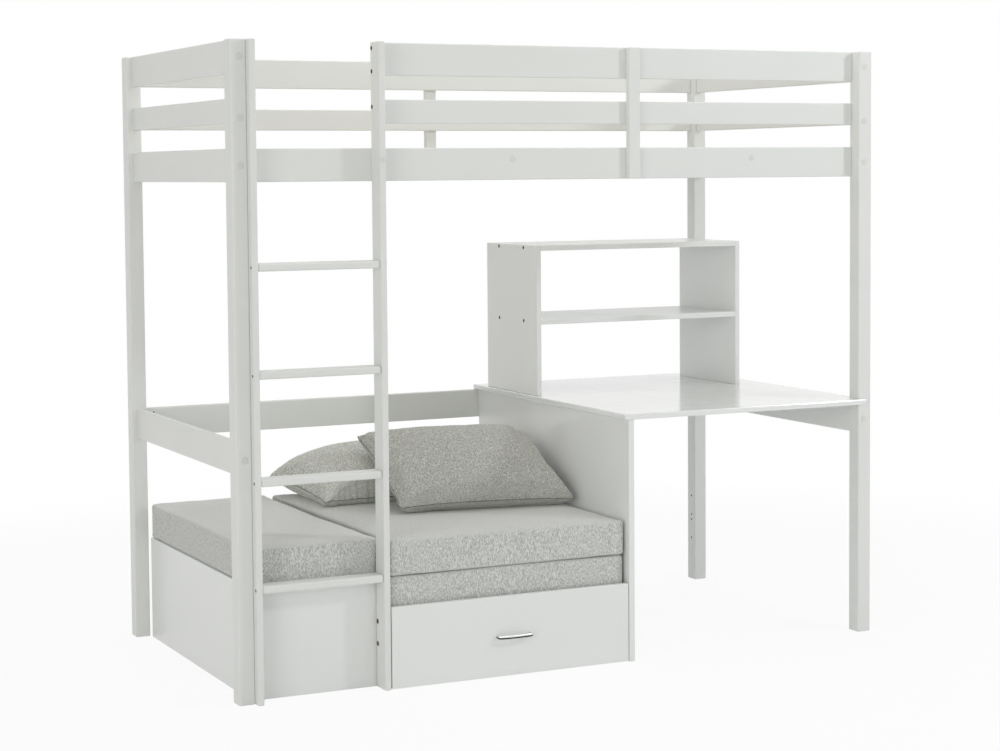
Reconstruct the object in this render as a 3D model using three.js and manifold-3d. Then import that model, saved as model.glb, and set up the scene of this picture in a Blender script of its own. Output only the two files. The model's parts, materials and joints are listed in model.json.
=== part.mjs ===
// Loft bed: a high sleeper on four posts, with a ladder, a desk with a shelf unit,
// and below it a seat whose front half pulls out on castors.
// Millimetres, +Z up. X runs along the bed from the left posts, Y from the front posts to the back.
import * as THREE from 'three';
import { mergeVertices } from 'three/addons/utils/BufferGeometryUtils.js';
import { ConvexGeometry } from 'three/addons/geometries/ConvexGeometry.js';
import Module from 'manifold-3d';

// Bed frame
const bedLength = 2000;
const bedDepth = 996;
const postHeight = 1740;
const postWidth = 44;
const postDepth = 48;
const railThickness = 20;
const frontRailSetback = 36.5; // front of the front posts to the front of the front rails
const backRailSetback = 7.5; // back of the back posts to the back of the back rails
const endRailSetback = 15.5; // outside of the posts to the outside of the end rails
const wideRailHeight = 88;
const narrowRailHeight = 64;
const topRailGap = 64; // between the top and the middle guard rail
const midRailGap = 66; // between the middle guard rail and the side rail
const lowRailTop = 690; // the desk lies on the low rails
const guardRailLap = 9; // how far the front guard rails reach in behind the ladder

// Struts that tie the guard rails together
const strutWidth = 36;
const strutThickness = 20;
const frontStrutCentre = 1202;
const backStrutCentre = 1006;

// Slatted deck of the upper bed
const ledgerHeight = 30;
const ledgerThickness = 20;
const deckRecess = 2; // deck surface below the top of the side rails
const deckSlatThickness = 14;
const deckSlatWidth = 78;
const deckSlatCount = 13;
const deckSlatEndGap = 1.5;
const deckEndMargin = 24; // first and last slat to the posts
const tapeWidth = 25;
const tapeThickness = 1;
const tapeSink = 0.3; // the tapes are pressed this deep into the slats
const tapePlaceShares = [0.22, 0.78]; // across the deck

// Ladder
const stileThickness = 18;
const stileDepth = 60;
const ladderClearWidth = 343;
const rungCount = 4;
const rungThickness = 21;
const rungDepth = 50;
const rungSetback = 3.5; // behind the front edge of the stiles
const firstRungTop = 315;
const rungPitch = 281.5;

// Desk and the panel that carries it
const dividerThickness = 18;
const seatWidth = 733; // between the seat box and the divider
const deskThickness = 16;
const deskOverhang = 10; // past the divider, over the seat
const deskRailCover = 17; // how far the desk lies over the back low rail
const postNotchClearance = 1;
const deskLipLap = 10; // how far the desk's front lip covers the front of the right post
const deskEdge = 2.5;

// Shelf unit on the desk
const hutchDepth = 350;
const hutchHeadroom = 204; // between its top and the side rails of the bed
const hutchLeftInset = 14; // from the desk's left edge
const hutchRightInset = 96.5; // from the desk's right edge
const hutchBackInset = 80; // from the desk's back edge
const hutchBoardThickness = 16;
const hutchShelfShare = 0.491; // middle of the shelf, of the unit's height

// Seat box at the left end, beside the ladder
const boxPostGap = 3;
const boxStileGap = 4.5;
const boxHeight = 302;
const boxBackSetback = 59; // back of the back posts to the back of the box
const panelThickness = 16;

// Seat deck: fixed slats with the slats of the pull-out between them
const seatDeckHeight = 205;
const seatSlatThickness = 15;
const seatSlatGap = 6;
const movingSlatCount = 6;
const seatBarHeight = 40;
const seatBarDepth = 20;
const slatPacking = 2; // lifts each comb's slats clear of the other comb's bars
const packingOverlap = 0.5;
const seatFrontBarPlace = 40; // behind the front of the front posts
const seatBackBarPlace = 22; // in from the back of the box
const pullOutBarGap = 5; // behind the rear bar of the pull-out
const pullOutBarDepth = 30;
const pullOutSideGap = 4;

// Pull-out front
const drawerFrontThickness = 16;
const drawerFrontTop = 225;
const drawerFloorGap = 2.5;
const drawerSideGap = 2.5;

// Bow handle
const handleHoleCentres = 96;
const handleProjection = 25;
const handleStrip = 4; // thickness of the bow
const handleWidth = 10;
const handleFoot = 9; // length of each foot along the front
const handleFlat = 70; // chord of the bow's inside
const bowSteps = 10;

// Castors behind the pull-out front
const wheelRadius = 22;
const wheelWidth = 18;
const wheelEdge = 3;
const axleRadius = 3;
const axleClearance = 0.4;
const forkPlate = 3;
const forkGap = 1.5; // beside and in front of the wheel
const forkHeight = 34; // plate above the axle
const forkDrop = 9; // cheek below the axle
const castorInset = 60; // from the sides of the pull-out front
const wheelSteps = 28;
const axleSteps = 12;

// Cushions
const softGap = 0.4; // between a cushion or pillow and what it rests on
const boxCushionHeight = 101;
const boxCushionCrown = 9;
const boxCushionInset = 13; // from the pull-out side of the box
const seatCushionFrontGap = 1;
const seatCushionSideGap = 4;
const lowerCushionHeight = 98;
const lowerCushionCrown = 2;
const upperCushionHeight = 96;
const upperCushionCrown = 8;
const cushionCornerRadius = 24;
const cushionEdgeRadius = 15;
const cushionDrawIn = 4; // the sides pull in this much between their corners
const cushionBulge = 2; // and swell this much at half height
const crownRingShares = [0.86, 0.6, 0.3];

// Pillows
const pillowDrawIn = 12;
const backPillowWidth = 600;
const backPillowDepth = 390;
const backPillowOverhang = 9; // past the back edge of the seat cushion
const backPillowBoxGap = 2; // to the box cushion at its left
const backPillowSeam = 34; // height of its seam above the seat, at the middle
const backPillowSwell = [124, 60]; // above and below the seam
const backPillowSkewShare = -0.115; // shift in X for each step in Y
const backPillowTilt = 6; // degrees, its back edge is higher
const frontPillowWidth = 544;
const frontPillowDepth = 398;
const frontPillowDeskGap = 4; // to the desk's edge at its right
const frontPillowLap = 115; // how far it leans over the back pillow
const pillowGap = 0.8; // between the two pillows, where they come nearest
const frontPillowSwell = [75, 75];
const frontPillowSkewShare = -0.14;
const frontPillowTilt = 27.5;
const frontPillowTurn = -8; // degrees about the vertical, its right end is nearer the front
const pillowStepsAlong = 18;
const pillowStepsAcross = 12;

// Eased edges
const timberEdge = 3;
const panelEdge = 1.6;
const rungEdge = 5;
const slatEdge = 1.5;

// Heights of the rails, from the top of the posts down
const topRail = [postHeight - wideRailHeight, postHeight];
const midRail = [topRail[0] - topRailGap - narrowRailHeight, topRail[0] - topRailGap];
const sideRail = [midRail[0] - midRailGap - wideRailHeight, midRail[0] - midRailGap];
const lowRail = [lowRailTop - wideRailHeight, lowRailTop];

// Places along the bed
const postInside = [postWidth, bedLength - postWidth];
const leftStile = [postWidth, postWidth + stileThickness];
const rightStile = [leftStile[1] + ladderClearWidth, leftStile[1] + ladderClearWidth + stileThickness];
const boxSpan = [postWidth + boxPostGap, rightStile[1]];
const seatSpan = [boxSpan[1], boxSpan[1] + seatWidth];
const divider = [seatSpan[1], seatSpan[1] + dividerThickness];
const leftEndRail = [endRailSetback, endRailSetback + railThickness];
const rightEndRail = [bedLength - endRailSetback - railThickness, bedLength - endRailSetback];

// Places from front to back
const frontRail = [frontRailSetback, frontRailSetback + railThickness];
const backRail = [bedDepth - backRailSetback - railThickness, bedDepth - backRailSetback];
const frontPlane = frontRailSetback - stileDepth; // ladder, divider, desk and pull-out end here
const postRow = { front: [0, postDepth], back: [bedDepth - postDepth, bedDepth] };
const betweenPosts = [postDepth, bedDepth - postDepth];
const boxDepth = [frontRailSetback + boxStileGap, bedDepth - boxBackSetback];
const deckTop = sideRail[1] - deckRecess;
const backmost = backRail[1] + strutThickness;
const foremost = frontPlane - handleProjection;

// Materials
const lacquer = new THREE.MeshStandardMaterial({ color: 0xe6e7e6, roughness: 0.45, metalness: 0 });
const board = new THREE.MeshStandardMaterial({ color: 0xeaebeb, roughness: 0.3, metalness: 0 });
const slatWood = new THREE.MeshStandardMaterial({ color: 0xd9c29a, roughness: 0.7, metalness: 0 });
const fabric = new THREE.MeshStandardMaterial({ color: 0xa8a9a4, roughness: 0.95, metalness: 0 });
const nickel = new THREE.MeshStandardMaterial({ color: 0xb4b2ad, roughness: 0.3, metalness: 1 });
const steel = new THREE.MeshStandardMaterial({ color: 0x9a9c9e, roughness: 0.4, metalness: 1 });
const castorPlastic = new THREE.MeshStandardMaterial({ color: 0x2b2c2e, roughness: 0.55, metalness: 0 });

// The bed is moved so that its origin is at the middle of its footprint, on the floor
const bed = new THREE.Group();
bed.position.set(-bedLength / 2, -(foremost + backmost) / 2, 0);

function add(name, geometry, material, parent = bed) {
  const mesh = new THREE.Mesh(geometry, material.clone());
  mesh.name = name;
  parent.add(mesh);
  return mesh;
}

// A block whose edges are rounded in two steps, as the convex hull of its eight rounded corners
const cornerDirections = [
  [1, 0, 0], [0, 1, 0], [0, 0, 1], [1, 1, 0], [1, 0, 1], [0, 1, 1],
].map((d) => new THREE.Vector3(...d).normalize());

function easedBlock(size, edge) {
  const half = size.map((s) => s / 2 - edge);
  const points = [];
  for (const sx of [-1, 1]) for (const sy of [-1, 1]) for (const sz of [-1, 1]) {
    for (const d of cornerDirections) {
      points.push(new THREE.Vector3(
        sx * (half[0] + edge * d.x), sy * (half[1] + edge * d.y), sz * (half[2] + edge * d.z),
      ));
    }
  }
  return new ConvexGeometry(points);
}

function middle(span) {
  return (span[0] + span[1]) / 2;
}

function length(span) {
  return span[1] - span[0];
}

// A board that fills three spans, each [low, high] along X, Y and Z
function addBoard(name, spans, material, edge, parent = bed) {
  const mesh = add(name, easedBlock(spans.map(length), edge), material, parent);
  mesh.position.set(...spans.map(middle));
  return mesh;
}

const wasm = await Module();
wasm.setup();

function toSolid(geometry) {
  const plain = geometry.clone();
  plain.deleteAttribute('normal');
  plain.deleteAttribute('uv');
  const merged = mergeVertices(plain, 1e-4);
  return new wasm.Manifold(new wasm.Mesh({
    numProp: 3,
    vertProperties: new Float32Array(merged.attributes.position.array),
    triVerts: new Uint32Array(merged.index.array),
  }));
}

function toGeometry(solid) {
  const mesh = solid.getMesh();
  const geometry = new THREE.BufferGeometry();
  geometry.setAttribute('position', new THREE.BufferAttribute(new Float32Array(mesh.vertProperties), 3));
  geometry.setIndex([...mesh.triVerts]);
  geometry.computeVertexNormals();
  return geometry;
}

function joined(geometries) {
  return toGeometry(geometries.map(toSolid).reduce((whole, next) => whole.add(next)));
}

function placedBlock(spans) {
  return new THREE.BoxGeometry(...spans.map(length)).translate(...spans.map(middle));
}

// Posts
const postSides = { left: [0, postWidth], right: [postInside[1], bedLength] };
for (const [side, x] of Object.entries(postSides)) {
  for (const [row, y] of Object.entries(postRow)) {
    addBoard(`post_${row}_${side}`, [x, y, [0, postHeight]], lacquer, timberEdge);
  }
}

// Long rails: the front guard rails start behind the ladder's right stile
const guardSpan = [rightStile[0] + guardRailLap, postInside[1]];
addBoard('front_guard_rail_top', [guardSpan, frontRail, topRail], lacquer, timberEdge);
addBoard('front_guard_rail_middle', [guardSpan, frontRail, midRail], lacquer, timberEdge);
addBoard('front_side_rail', [postInside, frontRail, sideRail], lacquer, timberEdge);
addBoard('back_guard_rail_top', [postInside, backRail, topRail], lacquer, timberEdge);
addBoard('back_guard_rail_middle', [postInside, backRail, midRail], lacquer, timberEdge);
addBoard('back_side_rail', [postInside, backRail, sideRail], lacquer, timberEdge);
addBoard('back_low_rail', [postInside, backRail, lowRail], lacquer, timberEdge);

// End rails, between the front and the back posts
for (const [side, x] of Object.entries({ left: leftEndRail, right: rightEndRail })) {
  addBoard(`${side}_end_rail_top`, [x, betweenPosts, topRail], lacquer, timberEdge);
  addBoard(`${side}_end_rail_middle`, [x, betweenPosts, midRail], lacquer, timberEdge);
  addBoard(`${side}_end_rail_lower`, [x, betweenPosts, sideRail], lacquer, timberEdge);
  addBoard(`${side}_low_rail`, [x, betweenPosts, lowRail], lacquer, timberEdge);
}

// Struts, outside the front rails and outside the back rails
function around(centre, width) {
  return [centre - width / 2, centre + width / 2];
}
const strutHeight = [sideRail[0], postHeight];
addBoard('front_strut', [
  around(frontStrutCentre, strutWidth), [frontRail[0] - strutThickness, frontRail[0]], strutHeight,
], lacquer, timberEdge);
addBoard('back_strut', [
  around(backStrutCentre, strutWidth), [backRail[1], backmost], strutHeight,
], lacquer, timberEdge);

// Upper deck: two ledgers inside the side rails carry a roll of slats held by two tapes
const ledgerZ = [deckTop - deckSlatThickness - ledgerHeight, deckTop - deckSlatThickness];
addBoard('front_slat_ledger', [
  postInside, [frontRail[1], frontRail[1] + ledgerThickness], ledgerZ,
], slatWood, slatEdge);
addBoard('back_slat_ledger', [
  postInside, [backRail[0] - ledgerThickness, backRail[0]], ledgerZ,
], slatWood, slatEdge);

const deckSpan = [postInside[0] + deckEndMargin, postInside[1] - deckEndMargin];
const deckAcross = [frontRail[1] + deckSlatEndGap, backRail[0] - deckSlatEndGap];
const deckPitch = (length(deckSpan) - deckSlatWidth) / (deckSlatCount - 1);
const deckPieces = [];
for (let i = 0; i < deckSlatCount; i++) {
  const start = deckSpan[0] + i * deckPitch;
  deckPieces.push(placedBlock([
    [start, start + deckSlatWidth], deckAcross, [deckTop - deckSlatThickness, deckTop],
  ]));
}
for (const share of tapePlaceShares) {
  const centre = deckAcross[0] + share * length(deckAcross);
  deckPieces.push(placedBlock([
    deckSpan, around(centre, tapeWidth), [deckTop - tapeSink, deckTop - tapeSink + tapeThickness],
  ]));
}
add('deck_slat_roll', joined(deckPieces), slatWood);

// Ladder: two stiles in front of the rails, with flat rungs between them
const stileDepthSpan = [frontPlane, frontRailSetback];
addBoard('ladder_stile_left', [leftStile, stileDepthSpan, [0, postHeight]], lacquer, timberEdge);
addBoard('ladder_stile_right', [rightStile, stileDepthSpan, [0, postHeight]], lacquer, timberEdge);
const rungDepthSpan = [frontPlane + rungSetback, frontPlane + rungSetback + rungDepth];
for (let i = 0; i < rungCount; i++) {
  const top = firstRungTop + i * rungPitch;
  addBoard(`ladder_rung_${i + 1}`, [
    [leftStile[1], rightStile[0]], rungDepthSpan, [top - rungThickness, top],
  ], lacquer, rungEdge);
}

// Divider between the seat and the desk, from the front plane to the back low rail
addBoard('divider_panel', [divider, [frontPlane, backRail[0]], [0, lowRailTop]], board, panelEdge);

// Desk top: an outline with a notch round each right post, and a lip in front of the front one
const desk = {
  left: divider[0] - deskOverhang,
  right: rightEndRail[1],
  back: backRail[0] + deskRailCover,
  top: lowRailTop + deskThickness,
};
const notchInside = postInside[1] - postNotchClearance;
const deskOutline = [
  [desk.left, frontPlane],
  [postInside[1] + deskLipLap, frontPlane],
  [postInside[1] + deskLipLap, postRow.front[0] - postNotchClearance],
  [notchInside, postRow.front[0] - postNotchClearance],
  [notchInside, postRow.front[1] + postNotchClearance],
  [desk.right, postRow.front[1] + postNotchClearance],
  [desk.right, postRow.back[0] - postNotchClearance],
  [notchInside, postRow.back[0] - postNotchClearance],
  [notchInside, desk.back],
  [desk.left, desk.back],
];
const deskShape = new THREE.Shape(deskOutline.map(([x, y]) => new THREE.Vector2(x, y)));
const deskGeometry = new THREE.ExtrudeGeometry(deskShape, {
  depth: deskThickness - 2 * deskEdge,
  bevelEnabled: true,
  bevelSize: deskEdge,
  bevelThickness: deskEdge,
  bevelOffset: -deskEdge,
  bevelSegments: 2,
});
add('desk_top', deskGeometry, board).position.z = lowRailTop + deskEdge;

// Shelf unit: two sides with a top board and a shelf between them, and no back
const hutch = {
  x: [desk.left + hutchLeftInset, desk.right - hutchRightInset],
  y: [desk.back - hutchBackInset - hutchDepth, desk.back - hutchBackInset],
  z: [desk.top, sideRail[0] - hutchHeadroom],
};
const hutchInside = [hutch.x[0] + hutchBoardThickness, hutch.x[1] - hutchBoardThickness];
addBoard('hutch_side_left', [[hutch.x[0], hutchInside[0]], hutch.y, hutch.z], board, panelEdge);
addBoard('hutch_side_right', [[hutchInside[1], hutch.x[1]], hutch.y, hutch.z], board, panelEdge);
addBoard('hutch_top_board', [
  hutchInside, hutch.y, [hutch.z[1] - hutchBoardThickness, hutch.z[1]],
], board, panelEdge);
const shelfMiddle = desk.top + hutchShelfShare * length(hutch.z);
addBoard('hutch_shelf', [
  hutchInside, hutch.y, around(shelfMiddle, hutchBoardThickness),
], board, panelEdge);

// Seat box: four panels on the floor with a board let in between them
const boxInsideX = [boxSpan[0] + panelThickness, boxSpan[1] - panelThickness];
const boxInsideY = [boxDepth[0] + panelThickness, boxDepth[1] - panelThickness];
const boxInnerRun = [boxInsideY[0], boxDepth[1]];
const boxZ = [0, boxHeight];
addBoard('seat_box_front', [boxSpan, [boxDepth[0], boxInsideY[0]], boxZ], board, panelEdge);
addBoard('seat_box_end', [[boxSpan[0], boxInsideX[0]], boxInnerRun, boxZ], board, panelEdge);
addBoard('seat_box_side', [[boxInsideX[1], boxSpan[1]], boxInnerRun, boxZ], board, panelEdge);
addBoard('seat_box_back', [boxInsideX, [boxInsideY[1], boxDepth[1]], boxZ], board, panelEdge);
addBoard('seat_box_top', [
  boxInsideX, boxInsideY, [boxHeight - panelThickness, boxHeight],
], board, panelEdge);

// Seat deck: two combs of slats, one fixed and one that pulls out, lie between each other
const slatTotal = 2 * movingSlatCount + 1;
const seatSlatPitch = seatWidth / slatTotal;
const seatSlatWidth = seatSlatPitch - seatSlatGap;
const seatSlatZ = [seatDeckHeight - seatSlatThickness, seatDeckHeight];
const seatBarZ = [seatSlatZ[0] - slatPacking - seatBarHeight, seatSlatZ[0] - slatPacking];
const packingZ = [seatBarZ[1] - packingOverlap, seatSlatZ[0] + packingOverlap];

// A comb has its bars along X, and slats along Y with a packing piece on each bar
function comb(first, barsX, barsY, slatsY) {
  const pieces = barsY.map((y) => placedBlock([barsX, y, seatBarZ]));
  for (let i = first; i < slatTotal; i += 2) {
    const x = around(seatSpan[0] + (i + 1 / 2) * seatSlatPitch, seatSlatWidth);
    pieces.push(placedBlock([x, slatsY, seatSlatZ]));
    for (const y of barsY) pieces.push(placedBlock([x, y, packingZ]));
  }
  return joined(pieces);
}

const seatFrontBar = [seatFrontBarPlace, seatFrontBarPlace + seatBarDepth];
const seatBackBar = [boxDepth[1] - seatBackBarPlace, boxDepth[1] - seatBackBarPlace + seatBarDepth];
const fixedBars = [seatFrontBar, seatBackBar];
add('seat_slats_fixed', comb(0, seatSpan, fixedBars, [seatFrontBar[0], seatBackBar[1]]), slatWood);

// Pull-out: front panel, comb of slats with a front and a rear bar, handle and castors
const pullOut = new THREE.Group();
bed.add(pullOut);
const drawerX = [seatSpan[0] + drawerSideGap, seatSpan[1] - drawerSideGap];
const drawerBack = frontPlane + drawerFrontThickness;
addBoard('pull_out_front', [drawerX, [frontPlane, drawerBack], [drawerFloorGap, drawerFrontTop]],
  board, panelEdge, pullOut);
const cleat = [drawerBack, drawerBack + seatBarDepth];
const rearBar = [seatBackBar[0] - pullOutBarGap - pullOutBarDepth, seatBackBar[0] - pullOutBarGap];
const pullOutBarX = [seatSpan[0] + pullOutSideGap, seatSpan[1] - pullOutSideGap];
add('pull_out_slats', comb(1, pullOutBarX, [cleat, rearBar], [cleat[0], rearBar[1]]), slatWood, pullOut);

// Bow handle: a foot over each screw and a flat strip bowed between them
const bowSag = (handleProjection - handleStrip) / 2;
function bowPoint(i, chord, depth) {
  const t = i / bowSteps;
  return [chord * (t - 1 / 2), -(depth - bowSag * (2 * t - 1) ** 2)];
}
const handleHalf = (handleHoleCentres + handleFoot) / 2;
const handleOutline = [[-handleHalf, 0], [-handleHalf, -(handleProjection - bowSag)]];
for (let i = 1; i < bowSteps; i++) handleOutline.push(bowPoint(i, 2 * handleHalf, handleProjection));
handleOutline.push([handleHalf, -(handleProjection - bowSag)]);
handleOutline.push([handleHalf, 0], [handleHalf - handleFoot, 0]);
for (let i = bowSteps; i >= 0; i--) {
  handleOutline.push(bowPoint(i, handleFlat, handleProjection - handleStrip));
}
handleOutline.push([handleFoot - handleHalf, 0]);
const handleShape = new THREE.Shape(handleOutline.map(([x, y]) => new THREE.Vector2(x, y)));
const handleGeometry = new THREE.ExtrudeGeometry(handleShape, { depth: handleWidth, bevelEnabled: false });
add('pull_out_handle', handleGeometry, nickel, pullOut).position.set(
  middle(drawerX), frontPlane, middle([drawerFloorGap, drawerFrontTop]) - handleWidth / 2,
);

// Castors: a fork on the back of the front panel, and a wheel that turns on its axle
const forkInside = wheelWidth / 2 + forkGap;
const forkOutside = forkInside + forkPlate;
const axleBehind = forkPlate + forkGap + wheelRadius; // front panel's back face to the axle
const forkReach = axleBehind + forkDrop;
function wheelProfile() {
  const bore = axleRadius + axleClearance;
  const half = wheelWidth / 2;
  return [
    [bore, -half], [wheelRadius - wheelEdge, -half], [wheelRadius, wheelEdge - half],
    [wheelRadius, half - wheelEdge], [wheelRadius - wheelEdge, half], [bore, half], [bore, -half],
  ].map(([r, x]) => new THREE.Vector2(r, x));
}
const castorPlaces = { left: drawerX[0] + castorInset, right: drawerX[1] - castorInset };
for (const [side, x] of Object.entries(castorPlaces)) {
  const forkZ = [-forkDrop, forkHeight];
  const fork = [
    placedBlock([[-forkOutside, forkOutside], [-axleBehind, forkPlate - axleBehind], forkZ]),
    placedBlock([[-forkOutside, -forkInside], [-axleBehind, forkReach - axleBehind], forkZ]),
    placedBlock([[forkInside, forkOutside], [-axleBehind, forkReach - axleBehind], forkZ]),
    new THREE.CylinderGeometry(axleRadius, axleRadius, 2 * forkOutside, axleSteps).rotateZ(Math.PI / 2),
  ];
  const place = [x, drawerBack + axleBehind, wheelRadius];
  add(`castor_fork_${side}`, joined(fork), steel, pullOut).position.set(...place);
  const wheel = new THREE.LatheGeometry(wheelProfile(), wheelSteps).rotateZ(Math.PI / 2);
  add(`castor_wheel_${side}`, wheel, castorPlastic, pullOut).position.set(...place);
}

// A closed solid from rings of equally many points, with a fan to a centre at each end
function ringSolid(rings, low, high) {
  const count = rings[0].length;
  const points = [low, ...rings.flat(), high];
  const last = points.length - 1;
  const faces = [];
  for (let j = 0; j < count; j++) {
    const next = (j + 1) % count;
    faces.push(0, 1 + next, 1 + j);
    for (let i = 0; i < rings.length - 1; i++) {
      const a = 1 + i * count;
      const b = a + count;
      faces.push(a + j, a + next, b + next, a + j, b + next, b + j);
    }
    const top = 1 + (rings.length - 1) * count;
    faces.push(top + j, top + next, last);
  }
  const geometry = new THREE.BufferGeometry();
  geometry.setAttribute('position', new THREE.Float32BufferAttribute(points.flat(), 3));
  geometry.setIndex(faces);
  geometry.computeVertexNormals();
  return geometry;
}

// A cushion's outline: round corners, and sides that pull in between them
const cornerSteps = 4;
const sideSteps = 6;
function cushionOutline(width, depth, inset, z) {
  const radius = Math.max(cushionCornerRadius - inset, cushionCornerRadius / cornerSteps);
  const halfX = width / 2 - inset - radius;
  const halfY = depth / 2 - inset - radius;
  const centres = [[1, -1], [1, 1], [-1, 1], [-1, -1]];
  const points = [];
  centres.forEach(([sx, sy], k) => {
    for (let i = 0; i <= cornerSteps; i++) {
      const angle = (k - 1 + i / cornerSteps) * Math.PI / 2;
      points.push([sx * halfX + radius * Math.cos(angle), sy * halfY + radius * Math.sin(angle), z]);
    }
    const from = points[points.length - 1];
    const [nx, ny] = centres[(k + 1) % centres.length];
    const angle = k * Math.PI / 2;
    const to = [nx * halfX + radius * Math.cos(angle), ny * halfY + radius * Math.sin(angle)];
    for (let i = 1; i < sideSteps; i++) {
      const t = i / sideSteps;
      const pull = cushionDrawIn * (1 - (2 * t - 1) ** 2);
      points.push([
        from[0] + (to[0] - from[0]) * t - pull * Math.cos(angle),
        from[1] + (to[1] - from[1]) * t - pull * Math.sin(angle),
        z,
      ]);
    }
  });
  return points;
}

// A box cushion on a flat base: eased lower edge, swelling sides, eased upper edge, crowned top
function cushion(width, depth, height, crown) {
  const r = cushionEdgeRadius;
  const ease = r * (1 - Math.SQRT1_2);
  const profile = [
    [r / 2, 0], [ease / 2, ease / 2], [0, r / 2], [-cushionBulge, height / 2],
    [0, height - r], [ease, height - ease], [r, height],
  ];
  const rings = profile.map(([inset, z]) => cushionOutline(width, depth, inset, z));
  const rim = rings[rings.length - 1];
  for (const share of crownRingShares) {
    rings.push(rim.map(([x, y]) => [x * share, y * share, height + crown * (1 - share ** 2)]));
  }
  return ringSolid(rings, [0, 0, 0], [0, 0, height + crown]);
}

function addCushion(name, x, y, base, height, crown) {
  const bulge = 2 * cushionBulge;
  const mesh = add(name, cushion(length(x) - bulge, length(y) - bulge, height, crown), fabric);
  mesh.position.set(middle(x), middle(y), base);
  return base + height + crown;
}

const boxCushionX = [boxSpan[0], boxSpan[1] - boxCushionInset];
addCushion('cushion_box', boxCushionX, boxDepth, boxHeight + softGap, boxCushionHeight, boxCushionCrown);
const seatCushionX = [seatSpan[0] + seatCushionSideGap, seatSpan[1] - seatCushionSideGap];
const seatCushionY = [drawerBack + seatCushionFrontGap, boxDepth[1]];
const lowerTop = addCushion('cushion_seat_lower', seatCushionX, seatCushionY,
  seatDeckHeight + softGap, lowerCushionHeight, lowerCushionCrown);
const seatTop = addCushion('cushion_seat_upper', seatCushionX, seatCushionY,
  lowerTop + softGap, upperCushionHeight, upperCushionCrown);

// A pillow: two swollen sheets that meet in a seam, with sides that pull in between the corners
const swellPower = 2.4;
const swellRound = 0.5;
function pillow(width, depth, [above, below], place) {
  const seamOf = (u, v) => [
    u * (width / 2 - pillowDrawIn * (1 - v * v) * u * u),
    v * (depth / 2 - pillowDrawIn * (1 - u * u) * v * v),
  ];
  const swell = (u, v) => ((1 - Math.abs(u) ** swellPower) * (1 - Math.abs(v) ** swellPower)) ** swellRound;
  const points = [];
  const index = { 1: [], '-1': [] };
  for (const side of [1, -1]) {
    for (let i = 0; i <= pillowStepsAlong; i++) {
      index[side].push([]);
      for (let j = 0; j <= pillowStepsAcross; j++) {
        const onSeam = i % pillowStepsAlong === 0 || j % pillowStepsAcross === 0;
        if (side < 0 && onSeam) {
          index[side][i].push(index[1][i][j]);
          continue;
        }
        const u = Math.sin((i / pillowStepsAlong - 1 / 2) * Math.PI);
        const v = Math.sin((j / pillowStepsAcross - 1 / 2) * Math.PI);
        const point = place(new THREE.Vector3(...seamOf(u, v), swell(u, v) * (side > 0 ? above : -below)));
        index[side][i].push(points.length);
        points.push([point.x, point.y, Math.max(point.z, 0)]); // flat where it rests on the seat
      }
    }
  }
  const faces = [];
  for (const side of [1, -1]) {
    const at = index[side];
    for (let i = 0; i < pillowStepsAlong; i++) {
      for (let j = 0; j < pillowStepsAcross; j++) {
        const [a, b, c, d] = [at[i][j], at[i + 1][j], at[i + 1][j + 1], at[i][j + 1]];
        if (side > 0) faces.push(a, b, c, a, c, d);
        else faces.push(a, c, b, a, d, c);
      }
    }
  }
  const geometry = new THREE.BufferGeometry();
  geometry.setAttribute('position', new THREE.Float32BufferAttribute(points.flat(), 3));
  geometry.setIndex(faces);
  geometry.computeVertexNormals();
  return geometry;
}

// How far an upper mesh can come down before it meets the one below it
function dropOnto(lower, upper) {
  const down = new THREE.Vector3(0, 0, -1);
  const ray = new THREE.Raycaster();
  let drop = Infinity;
  for (const [from, onto, direction] of [[upper, lower, down], [lower, upper, down.clone().negate()]]) {
    const places = from.geometry.attributes.position;
    for (let i = 0; i < places.count; i++) {
      const start = new THREE.Vector3().fromBufferAttribute(places, i).add(from.position);
      ray.set(start, direction);
      for (const hit of ray.intersectObject(onto)) drop = Math.min(drop, hit.distance);
    }
  }
  return drop;
}

// The pillows rest on the seat: the back one lies flat, and the front one leans over it
const pillowFloor = seatTop + softGap;
function turned(turn, tilt, skewShare, seam) {
  const turning = new THREE.Matrix4()
    .makeRotationZ(THREE.MathUtils.degToRad(turn))
    .multiply(new THREE.Matrix4().makeRotationX(THREE.MathUtils.degToRad(tilt)));
  return (point) => {
    point.applyMatrix4(turning);
    point.x += skewShare * point.y;
    point.z += seam;
    return point;
  };
}
function boxOf(geometry) {
  geometry.computeBoundingBox();
  return geometry.boundingBox;
}

function placed(geometry, place) {
  const mesh = new THREE.Mesh(geometry, fabric);
  mesh.position.set(...place);
  mesh.updateMatrixWorld();
  return mesh;
}

const backPillow = pillow(backPillowWidth, backPillowDepth, backPillowSwell,
  turned(0, backPillowTilt, backPillowSkewShare, backPillowSeam));
const backPillowPlace = [
  boxCushionX[1] + backPillowBoxGap - boxOf(backPillow).min.x,
  seatCushionY[1] + backPillowOverhang - boxOf(backPillow).max.y,
  pillowFloor,
];
add('pillow_back', backPillow, fabric).position.set(...backPillowPlace);

// The front pillow is tried high above the back one, and then lowered onto it
function frontPillow(seam) {
  return pillow(frontPillowWidth, frontPillowDepth, frontPillowSwell,
    turned(frontPillowTurn, frontPillowTilt, frontPillowSkewShare, seam));
}
const highSeam = frontPillowDepth + backPillowDepth;
const highPillow = frontPillow(highSeam);
const frontPillowPlace = [
  desk.left - frontPillowDeskGap - boxOf(highPillow).max.x,
  backPillowPlace[1] + boxOf(backPillow).min.y + frontPillowLap - boxOf(highPillow).max.y,
  pillowFloor,
];
const drop = dropOnto(placed(backPillow, backPillowPlace), placed(highPillow, frontPillowPlace));
add('pillow_front', frontPillow(highSeam - drop + pillowGap), fabric).position.set(...frontPillowPlace);

export default bed;
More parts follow.
